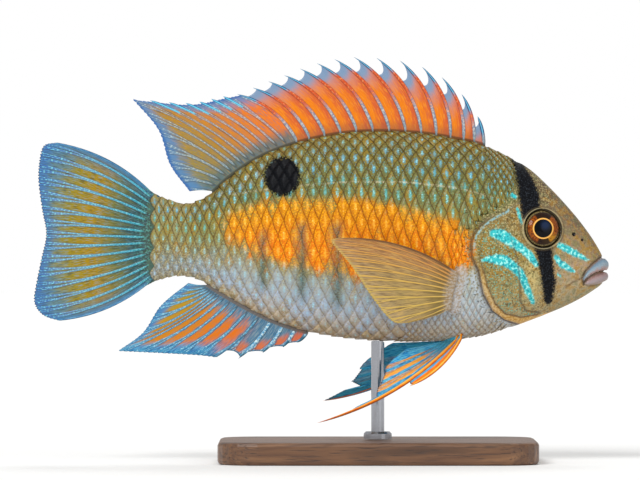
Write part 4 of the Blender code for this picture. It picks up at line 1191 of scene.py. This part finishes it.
tail_fan = Fan(
    through(CAUDAL_BASE), through(CAUDAL_TIPS),
    lambda ray: -CAUDAL_BOW * (1 - 2 * ray / CAUDAL_LAST), in_caudal, (1, 0, 0),
)
tail_rays = np.linspace(0, CAUDAL_LAST, CAUDAL_LAST * 20 + 1)
tail_sheath = 0.5 * (1 - (tail_rays / CAUDAL_LAST * 2 - 1) ** 2)[:, None]
tail_skin = fin_skin(tail_fan, tail_rays, lambda rays: frayed(rays, 0.016), rows=52, sheath=tail_sheath)
fin_piece("tail_fin", [tail_skin], tail_finish(), "blue_fin", "caudal_fin")

# The dorsal fin stands along the back: fourteen stiff spines whose points curve back over deep
# notches in the skin, then thirteen forked soft rays drawn out to a trailing point.
DORSAL_SPINES, DORSAL_LAST = 14, 26
DORSAL_BASE_X = [(0, 37.0), (2, 32.4), (5, 22.9), (10, 4.7), (13, -5.2), (18, -14.4), (26, -24.5)]
DORSAL_SPINE_TIPS = [
    (0, 35.6, 78.2), (1, 32.0, 83.2), (2, 27.5, 87.0), (3, 23.0, 89.4), (4, 18.0, 90.8),
    (6, 7.6, 91.6), (8, -0.8, 90.2), (10, -8.2, 87.5), (13, -18.8, 83.2),
]
DORSAL_NOTCHES = [(0, 0.33), (2, 0.59), (4, 0.65), (6, 0.77), (8, 0.83), (10, 0.87), (12, 0.9)]
DORSAL_TOP_TIPS = [(14, -22.0, 82.7), (17, -30.5, 81.2), (20, -42.8, 82.3)]
DORSAL_REAR_TIPS = [(20, -42.8, 82.3), (22, -36.8, 75.2), (24, -34.1, 67.3), (26, -29.6, 61.2)]
DORSAL_CORNER_RAY = 20


def on_outline(keys, outline, off):
    """A fin's base along the back or the belly: from a ray's number to its place."""
    def base(ray):
        x = curve(keys, ray)
        return np.stack([x, curve(outline, x) + off], -1)

    return base


def dorsal_tip(ray):
    last, first = through(DORSAL_SPINE_TIPS), through(DORSAL_TOP_TIPS)
    hindmost = DORSAL_SPINES - 1
    share = np.clip(ray - hindmost, 0, 1)[..., None]
    front = last(np.minimum(ray, hindmost)) * (1 - share)
    front = front + first(np.maximum(ray, DORSAL_SPINES)) * share
    rear = through(DORSAL_REAR_TIPS)(ray)
    return np.where((ray <= DORSAL_CORNER_RAY)[..., None], front, rear)


def dorsal_bow(ray):
    return -0.05 - 0.06 * np.clip(DORSAL_SPINES - ray, 0, 1) + 0.06 * np.clip(2 - ray, 0, 2) / 2


def in_dorsal(spot, base, run):
    sway = np.maximum(0, (-12 - spot[..., 0]) / 30)
    lift = np.maximum(0, (spot[..., 1] - 60) / 22)
    return np.stack([spot[..., 0], 1.6 * sway**2 * lift, spot[..., 1]], -1)


def notched(rays):
    """The spiny fin's margin: from near a spine's point down in a deep curve to the next spine."""
    whole = np.floor(rays)
    t = rays - whole
    high, low = np.where(whole > 0, 0.95, 0.85), curve(DORSAL_NOTCHES, whole) - 0.02
    return low + (high - low) * (1 - t) ** 2.1


def dorsal_finish(name, spiny):
    finish = FinFinish(name)
    run, ray, edge, streak, fine = finish.readings
    along, bead = finish.along, finish.bead
    if spiny:
        behind = ray.fraction()
        golden = (behind + (streak - 0.5) * 0.8).over(0.7, 0.2)
        finish.colour = finish.mix(golden, tint(230, 124, 12), tint(206, 92, 46))
        finish.lay(fine.over(0.5, 0.66) * 0.55, tint(236, 150, 48))
        finish.lay(fine.over(0.44, 0.3) * 0.5, tint(188, 98, 74))
        finish.lay(run.over(3.0, 0.3) * 0.55, tint(140, 84, 60))
        margin = (edge + (streak - 0.5) * 4).over(6.8, 1.6)
        cool = finish.mix(edge.over(3.8, 1.0), tint(194, 130, 120), tint(104, 150, 184))
        finish.lay(margin * 0.9, cool)
        shade = behind.over(0.2, 0.05).or_more(behind.over(0.86, 0.97))
        finish.lay(shade * 0.6 * edge.over(0.5, 3), tint(150, 66, 36))
        low = finish.mix(bead.over(0.4, 0.64), tint(138, 140, 158), tint(192, 198, 198))
        low = finish.mix(run.over(3.5, 0.6) * 0.5, low, tint(110, 140, 150))
        high = finish.mix(bead.over(0.5, 0.66) * 0.7, tint(206, 84, 40), tint(236, 150, 96))
        round_off = abs(finish.aside)
        # the spine's point is lighter blue on the rod's face and darker blue towards its sides: painted shade
        # of the round rod
        claw = finish.mix(round_off.over(0.1, 0.55), tint(104, 180, 210), tint(26, 82, 132))
        spine = finish.mix((along + (bead - 0.5) * 0.5).over(0.24, 0.52), low, high)
        spine = finish.mix((edge + (bead - 0.5)).over(5.4, 3.6), spine, claw)
        # the rod's sides darkened to dark edge lines: painted shade where the rod turns away
        spine = finish.mix(round_off.over(0.7, 0.92) * 0.85, spine, tint(62, 44, 60))
        finish.lay(finish.spine, spine)
    else:
        warm = finish.ramp(
            (ray + (streak - 0.5) * 3) / DORSAL_LAST,
            (0.5, 232, 116, 30), (0.66, 206, 124, 34), (0.8, 168, 128, 36),
            (1.0, 120, 128, 84),
        )
        base_blue = (run + (streak - 0.5) * 3).over(5.0, 1.2)
        finish.colour = finish.mix(base_blue * 0.9, warm, tint(84, 108, 104))
        finish.lay(fine.over(0.5, 0.66) * 0.6, tint(88, 112, 140))
        finish.lay(fine.over(0.44, 0.3) * 0.4, tint(222, 158, 70))
        margin = (edge + (streak - 0.5) * 5).over(6.0, 1.0)
        finish.lay(margin * 0.85, tint(74, 130, 182))
        finish.lay_rays(tint(112, 142, 164), tint(184, 204, 204), 0.7)
        finish.lay((edge + (fine - 0.5)).over(1.2, 0.2) * 0.8, tint(46, 98, 164))
        # the spines' points: lighter blue on the rod's face, darker towards its sides and darkest at its
        # edges: painted shade of the round rod
        tip = finish.mix(abs(finish.aside).over(0.2, 0.6), tint(104, 200, 224), tint(34, 110, 168))
        tip = finish.mix(abs(finish.aside).over(0.75, 0.9) * 0.8, tip, tint(40, 50, 76))
        finish.lay(finish.spine, tip)
    finish.lay(run.over(0.4, 0.1) * 0.7, tint(66, 58, 36))
    return finish.done()


dorsal_base = on_outline(DORSAL_BASE_X, BACK, 0.1)
dorsal_fan = Fan(dorsal_base, dorsal_tip, dorsal_bow, in_dorsal, (0, 0, -1))
between = np.linspace(0.02, 0.98, 14)
spiny_rays = np.concatenate([spine + between for spine in range(DORSAL_SPINES - 1)])
spines = [fin_spine(dorsal_fan, n, 0.4, 0.4) for n in range(DORSAL_SPINES)]
spiny_skin = fin_skin(dorsal_fan, spiny_rays, notched, rows=40, ridge=(0.3, 0.0), sheath=0.15)
fin_piece(
    "dorsal_spines", [spiny_skin, *spines], dorsal_finish("spiny_dorsal", True), "back_fin",
    "dorsal_fin_spiny",
)
soft_rays = np.linspace(DORSAL_SPINES - 1, DORSAL_LAST, (DORSAL_LAST - DORSAL_SPINES + 1) * 20 + 1)
soft_skin = fin_skin(
    dorsal_fan, soft_rays, lambda rays: frayed(rays, 0.02) - 0.04 * (rays < DORSAL_CORNER_RAY), sheath=0.15
)
claws = [
    fin_spine(dorsal_fan, n, 0.34, 0.26, start=0.72, steps=16)
    for n in range(DORSAL_SPINES, DORSAL_CORNER_RAY)
]
fin_piece(
    "dorsal_rays", [soft_skin, *claws], dorsal_finish("soft_dorsal", False), "back_fin",
    "dorsal_fin_soft",
)

# The anal fin hangs behind the belly: four short spines, then thirteen forked soft rays whose
# foremost are drawn out to a trailing point.
ANAL_SPINES, ANAL_LAST, ANAL_CORNER_RAY = 4, 16, 9
ANAL_BASE_X = [(0, -3.0), (3, -11.1), (6, -18.4), (9, -22.4), (16, -25.7)]
ANAL_LOW_TIPS = [
    (0, -5.2, 27.0), (1, -8.5, 25.9), (2, -13.1, 24.6), (3, -18.6, 23.3), (5, -28.2, 24.1),
    (9, -46.0, 25.0),
]
ANAL_REAR_TIPS = [(9, -46.0, 25.0), (11, -40.3, 29.2), (13, -36.3, 35.2), (16, -29.9, 40.5)]


def anal_tip(ray):
    low, rear = through(ANAL_LOW_TIPS)(ray), through(ANAL_REAR_TIPS)(ray)
    return np.where((ray <= ANAL_CORNER_RAY)[..., None], low, rear)


def in_anal(spot, base, run):
    sway = np.maximum(0, (-14 - spot[..., 0]) / 32)
    return np.stack([spot[..., 0], 1.2 * sway**2, spot[..., 1]], -1)


def anal_edge(rays):
    t = rays % 1
    spiny = 0.8 + 0.15 * (1 - t) ** 2 - 0.03 * np.sin(math.pi * t)
    return np.where(rays < ANAL_SPINES, spiny, frayed(rays, 0.02))


def anal_finish():
    finish = FinFinish("anal_fin")
    run, ray, edge, streak, fine = finish.readings
    finish.colour = finish.mix(fine.over(0.4, 0.65), tint(62, 112, 146), tint(122, 146, 158))
    warm = finish.ramp(
        ray / ANAL_LAST,
        (0.0, 222, 98, 30), (0.3, 218, 112, 26), (0.55, 198, 126, 14),
        (0.8, 178, 140, 16), (1.0, 150, 140, 44),
    )
    part = abs((ray + 0.5).fraction() - 0.5)
    reach = (edge + (streak - 0.5) * 6).over(0.8, 3.2) * (run + (streak - 0.5) * 8).over(1.0, 5.5)
    tips = (edge + (streak + fine - 1) * 3).over(4.0, 1.8) * edge.over(0.2, 0.7) * 0.85
    reach = reach * ray.over(3.4, 4.6) + tips * ray.over(4.6, 3.4)
    finish.lay(reach * (part + (fine - 0.5) * 0.6).over(0.06, 0.26), warm)
    finish.lay(fine.over(0.46, 0.36) * 0.35, tint(78, 120, 132))
    low_margin = (edge + (streak - 0.5) * 5).over(7.0, 2.6) * ray.over(10.5, 8.5)
    blue = finish.mix(fine.over(0.4, 0.6), tint(30, 104, 160), tint(70, 160, 204))
    finish.lay(low_margin * ray.over(3.5, 5.0) * 0.9, blue)
    rear_margin = (edge + (streak - 0.5) * 3).over(4.0, 0.8) * ray.over(9, 10)
    finish.lay(rear_margin * 0.8, tint(66, 124, 180))
    finish.lay_rays(tint(70, 150, 190), tint(160, 216, 230), 0.75)
    finish.lay(edge.over(0.3, 0.08) * 0.7, tint(40, 84, 120))
    spine = finish.mix(finish.bead.over(0.45, 0.6), tint(96, 158, 196), tint(206, 232, 236))
    spine = finish.mix(edge.over(2.6, 1.6), spine, tint(52, 104, 128))
    # the spines' sides darkened to dark edge lines: painted shade where the rod turns away
    spine = finish.mix(abs(finish.aside).over(0.7, 0.9) * 0.8, spine, tint(70, 60, 58))
    finish.lay(finish.spine, spine)
    finish.lay(run.over(0.7, 0.3) * 0.7, tint(112, 88, 60))
    return finish.done()


anal_base = on_outline(ANAL_BASE_X, BELLY, -0.1)
anal_fan = Fan(anal_base, anal_tip, lambda ray: 0.05 + 0 * ray, in_anal, (0, 0, 1))
anal_front = np.concatenate([spine + np.linspace(0.02, 0.98, 12) for spine in range(ANAL_SPINES)])
anal_rear = np.linspace(ANAL_SPINES, ANAL_LAST, (ANAL_LAST - ANAL_SPINES) * 20 + 1)
anal_skin = fin_skin(anal_fan, np.concatenate([anal_front, anal_rear]), anal_edge)
anal_parts = [fin_spine(anal_fan, n, 0.42, 0.4, blunt=4) for n in range(ANAL_SPINES)]
fin_piece("anal_fin_rays", [anal_skin, *anal_parts], anal_finish(), "blue_fin", "anal_fin")

# The pectoral fins are thin amber paddles on a fleshy root, one on each side. They leave the
# flank squarely, turn back along the body and stand a little off it.
PECTORAL_LAST = 12
PECTORAL_BASE = [(0, 31.0, 42.7), (6, 29.9, 38.9), (12, 29.2, 34.8)]
PECTORAL_TIPS = [
    (0, 6.5, 50.7), (1, 2.9, 50.5), (2, 2.4, 49.6), (3, 3.9, 47.8), (5, 7.0, 44.1),
    (8, 11.8, 36.9), (10, 16.2, 31.9), (11, 19.3, 31.6), (12, 22.8, 32.4),
]


def pectoral_finish():
    finish = FinFinish("pectoral_fins")
    run, ray, edge, streak, fine = finish.readings
    finish.colour = finish.ramp(
        (ray + (streak - 0.5) * 2.4) / PECTORAL_LAST,
        (0.0, 158, 104, 62), (0.16, 182, 126, 78), (0.42, 164, 138, 92),
        (0.7, 174, 150, 92), (1.0, 166, 144, 98),
    )
    finish.lay(edge.over(7, 1.5) * fine.over(0.35, 0.6) * 0.6, tint(146, 130, 122))
    finish.lay(streak.over(0.52, 0.62) * 0.5, tint(216, 176, 98))
    finish.lay(streak.over(0.47, 0.37) * 0.6, tint(112, 90, 62))
    finish.lay(fine.over(0.5, 0.64) * 0.5, tint(210, 172, 104))
    finish.lay(fine.over(0.46, 0.32) * 0.5, tint(108, 88, 68))
    finish.lay(run.over(8, 2.5) * finish.ridge.over(0.5, 0.1) * 0.65, tint(96, 80, 30))
    rays = finish.ramp(
        ray / PECTORAL_LAST,
        (0.0, 196, 130, 70), (0.3, 216, 160, 74), (0.6, 212, 176, 84),
    )
    finish.lay(finish.ridge.over(0.3, 0.75) * 0.75, rays)
    finish.lay(finish.ridge.near(0.28, 0.2) * 0.75, tint(92, 72, 48))
    finish.lay((edge + (fine - 0.5)).over(0.9, 0.2) * 0.6, tint(206, 178, 96))
    finish.lay(ray.over(0.8, 0.15) * 0.75, tint(92, 66, 46))
    root = finish.mix(finish.noise(0.5, 3.0).over(0.4, 0.6), tint(172, 146, 112), tint(196, 186, 174))
    finish.lay((run + (fine + streak - 1) * 3).over(2.6, 0.6) * 0.85, root)
    finish.give(alpha=1 - edge.over(0.4, 4) * finish.ridge.over(0.5, 0.1) * run.over(3, 8) * 0.12)
    return finish.done()


def pectoral_fan(side):
    def in_place(spot, base, run):
        out = 0.35 + 1.7 * np.sqrt(run / (run + 1.6)) + 0.2 * run
        return np.stack([spot[..., 0], side * (flank(base[..., 0], base[..., 1]) + out), spot[..., 1]], -1)

    return Fan(
        through(PECTORAL_BASE), through(PECTORAL_TIPS), lambda ray: -0.08 + 0.009 * ray, in_place,
        (0, -side, 0), crowd=1.4,
    )


paddle_rays = np.linspace(0, PECTORAL_LAST, PECTORAL_LAST * 18 + 1)
amber = pectoral_finish()
for side, name in SIDES:
    paddle = fin_skin(
        pectoral_fan(side), paddle_rays, lambda rays: frayed(rays, 0.014), rows=50, skin=0.1,
        ridge=(0.24, 0.16), forks=(0.4, 0.7), sheath=0.1,
    )
    fin_piece("pectoral_" + name, [paddle], amber, "clear_fin", "pectoral_fin_" + name)

# The pelvic fins hang under the breast: a stiff spine, a first soft ray drawn out to a long
# thread, and four shorter rays. They spread outwards and back.
PELVIC_LAST = 5
PELVIC_BASE = [(0, 31.9, 3.0), (5, 28.6, 1.3)]
PELVIC_TIPS = {
    "right": [(20.0, 17.3), (-0.7, 9.2), (8.6, 13.0), (12.3, 16.7), (14.3, 20.6), (19.0, 25.6)],
    "left": [(18.4, 18.6), (0.6, 13.4), (4.6, 15.8), (6.1, 17.9), (8.7, 20.7), (16.0, 26.9)],
}
PELVIC_FLARE = {"right": 0.3, "left": 0.38}
PELVIC_BOWS = [0.09, 0.07, 0.06, 0.04, 0.02, 0.0]
PELVIC_JOINS = {
    "right": [(0.93, 0.42), (0.8, 0.97), (0.84, 0.97), (0.95, 0.97), (1.0, 0.97)],
    "left": [(0.93, 0.42), (1.0, 0.97), (0.84, 0.97), (0.95, 0.97), (1.0, 0.97)],
}


def underside(x, y):
    """The height of the belly at places on its underside."""
    _, bottom, half, widest = section(x)
    across = (abs(y) / half) ** (1 / BELLY_POWER)
    return widest - (widest - bottom) * np.sqrt(1 - across**2)


def pelvic_fan(side, name):
    tips, numbers = np.array(PELVIC_TIPS[name]), np.arange(PELVIC_LAST + 1)
    foot = through(PELVIC_BASE)
    (_, front_x, front_y), (_, rear_x, rear_y) = PELVIC_BASE

    def base(ray):
        x, y = foot(ray)[..., 0], foot(ray)[..., 1]
        return np.stack([x, underside(x, y) - 0.3], -1)

    def tip(ray):
        return np.stack([np.interp(ray, numbers, tips[:, 0]), np.interp(ray, numbers, tips[:, 1])], -1)

    def in_place(spot, base, run):
        inner = (front_x - base[..., 0]) / (front_x - rear_x)
        out = front_y + (rear_y - front_y) * inner
        out = out + PELVIC_FLARE[name] * run * (1 - 0.5 * inner)
        return np.stack([spot[..., 0], side * out, spot[..., 1]], -1)

    return Fan(base, tip, lambda ray: np.interp(ray, numbers, PELVIC_BOWS), in_place, (0, 0, 1))


def pelvic_edge(rays, joins):
    """The margin, hollow behind the spine and full between the last two rays."""
    whole = np.minimum(np.floor(rays), PELVIC_LAST - 1).astype(int)
    t = rays - whole
    high, low = np.array(joins)[whole].T
    bulge = np.select([whole == 0, whole == PELVIC_LAST - 1], [-0.4, 0.3], 0) * t * (1 - t)
    return (high + (low - high) * t + bulge) * frayed(rays, 0.02, forks=6)


def pelvic_finish():
    finish = FinFinish("pelvic_fins")
    run, ray, edge, streak, fine = finish.readings
    finish.colour = finish.mix(fine.over(0.4, 0.62), tint(24, 132, 196), tint(110, 200, 224))
    finish.lay(streak.over(0.52, 0.7) * 0.4, tint(40, 76, 110))
    finish.lay(run.over(6, 1) * 0.6, tint(84, 190, 220))
    warm = 0 * ray
    for middle, wide in ((2.8, 0.3), (3.6, 0.18), (4.2, 0.1)):
        warm = warm.or_more((abs(ray - middle) + (streak - 0.5) * 0.35).over(wide + 0.08, wide - 0.04))
    gold = finish.mix(fine.over(0.4, 0.65), tint(236, 146, 20), tint(250, 178, 60))
    outer = finish.field("face").over(-0.3, 0.3)
    # the inner faces, which face the body and lie in its shade, lightened to a brighter blue: painted light
    # on the shaded side
    finish.lay((1 - outer) * fine.over(0.3, 0.55) * 0.7, tint(60, 190, 230))
    finish.lay(warm * run.over(3, 8) * (0.15 + outer * 0.8), gold)
    finish.lay_rays(tint(24, 112, 160), tint(120, 208, 236), 0.5)
    orange = finish.mix(fine.over(0.4, 0.65), tint(246, 140, 10), tint(236, 98, 10))
    lead = (ray + (streak - 0.5) * 0.4).over(0.5, 0.3).or_more((ray - 0.95).near(0.0, 0.35) * run.over(4, 12))
    finish.lay(lead * run.over(1, 3) * outer, orange)
    finish.lay(edge.over(0.4, 0.1) * 0.7, tint(64, 52, 58))
    # the spine: a painted highlight of pale yellow down the rod's face, and painted shade darkening its sides
    # to dark edge lines
    spine = finish.mix(abs(finish.aside).over(0.55, 0.1), orange, tint(255, 196, 84))
    spine = finish.mix(abs(finish.aside).over(0.75, 0.95) * 0.8, spine, tint(150, 70, 20))
    inner = finish.mix(edge.over(6, 1), tint(50, 150, 200), tint(190, 116, 104))
    spine = finish.mix(finish.field("face").over(-0.9, -0.6), inner, spine)
    finish.lay(finish.spine, spine)
    return finish.done()


pelvic_rays = np.concatenate([n + np.linspace(0.01, 0.99, 24) for n in range(PELVIC_LAST)])
plume = pelvic_finish()
for side, name in SIDES:
    fan = pelvic_fan(side, name)
    margin = pelvic_edge(pelvic_rays, PELVIC_JOINS[name])
    parts = [fin_skin(fan, pelvic_rays, lambda rays: margin, rows=56, skin=0.12)]
    parts += [fin_spine(fan, 0, 0.42, 0.36), fin_spine(fan, 1, 0.5, 0.36, steps=48, blunt=8)]
    for _, _, fields in parts:
        fields["face"] = fields["face"] * side
    fin_piece("pelvic_" + name, parts, plume, "blue_fin", "pelvic_fin_" + name)

# The stand is a flat base of oiled walnut with one bright steel rod that fits the belly. Both
# keep their shapes, and get a wood grain along the base and a fine turned finish on the steel.
def wood_finish():
    finish = Finish("walnut", roughness=0.42, coat_weight=0.2, coat_roughness=0.25)
    run = finish.node("ShaderNodeMapping", {}, {"Vector": finish.place, "Scale": (0.06, 1.0, 1.0)}, "Vector")
    figure = finish.noise(3.2 * MM, 4.0, at=run, Distortion=0.6)
    pores = finish.noise(0.35 * MM, 2.0, at=run)
    finish.colour = finish.ramp(
        figure,
        (0.3, 74, 48, 30), (0.45, 112, 76, 48), (0.55, 92, 60, 38),
        (0.7, 134, 94, 60),
    )
    finish.lay(pores.over(0.55, 0.7) * 0.7, tint(48, 30, 20))
    finish.give(base_color=finish.colour, roughness=0.38 + pores * 0.2)
    finish.bump(1 - pores.over(0.55, 0.7), 0.05)
    return finish.material


def steel_finish():
    finish = Finish("polished_steel", roughness=0.22, metallic=1.0)
    lathe = finish.node("ShaderNodeMapping", {}, {"Vector": finish.place, "Scale": (0.1, 0.1, 1.0)}, "Vector")
    turned = finish.noise(0.12 * MM, 2.0, at=lathe)
    finish.colour = finish.mix(turned, tint(150, 152, 158), tint(182, 184, 190))
    finish.give(base_color=finish.colour, roughness=0.16 + turned * 0.16)
    return finish.material


for node, finish in (("stand_base", wood_finish()), ("stand_rod", steel_finish())):
    bpy.data.objects[node].material_slots[0].material = finish

# The fish stands on a plain painted floor in a white room, as in a studio. Three broad soft
# lights shine on it: a key from above its tail, a weak fill at its snout and a rim behind.
ROOM_LIGHT = 0.62
FLOOR_SIZE = 8.0
bpy.ops.mesh.primitive_plane_add(size=FLOOR_SIZE, location=(0, 0, 0))
floor = bpy.context.object
floor.name = "floor"
paint = Finish("floor_paint", roughness=0.8)
paint.give(base_color=paint.mix(paint.noise(40, 2.0) * 0.05, tint(247, 247, 246), tint(232, 232, 230)))
floor.data.materials.append(paint.material)

room = bpy.data.worlds.new("room")
room.use_nodes = True
sky = room.node_tree.nodes["Background"]
sky.inputs["Color"].default_value = (1.0, 1.0, 1.0, 1)
seen = room.node_tree.nodes.new("ShaderNodeLightPath")
strength = room.node_tree.nodes.new("ShaderNodeMapRange")
strength.inputs["To Min"].default_value = ROOM_LIGHT
strength.inputs["To Max"].default_value = 1.0
room.node_tree.links.new(seen.outputs["Is Camera Ray"], strength.inputs["Value"])
room.node_tree.links.new(strength.outputs["Result"], sky.inputs["Strength"])
bpy.context.scene.world = room
LIGHTS = [
    ("key", (-0.5, -0.75, 0.8), 25, 1.75),
    ("fill", (0.8, -0.7, 0.35), 40, 0.3),
    ("rim", (0.1, 0.6, 0.8), 20, 0.5),
]
for name, place, softness, power in LIGHTS:
    bpy.ops.object.light_add(type="SUN", location=place)
    light = bpy.context.object
    light.name = name
    light.data.angle = math.radians(softness)
    light.data.energy = power
    light.rotation_euler = Vector(place).to_track_quat("Z", "Y").to_euler()
bpy.context.scene.view_settings.view_transform = "Standard"
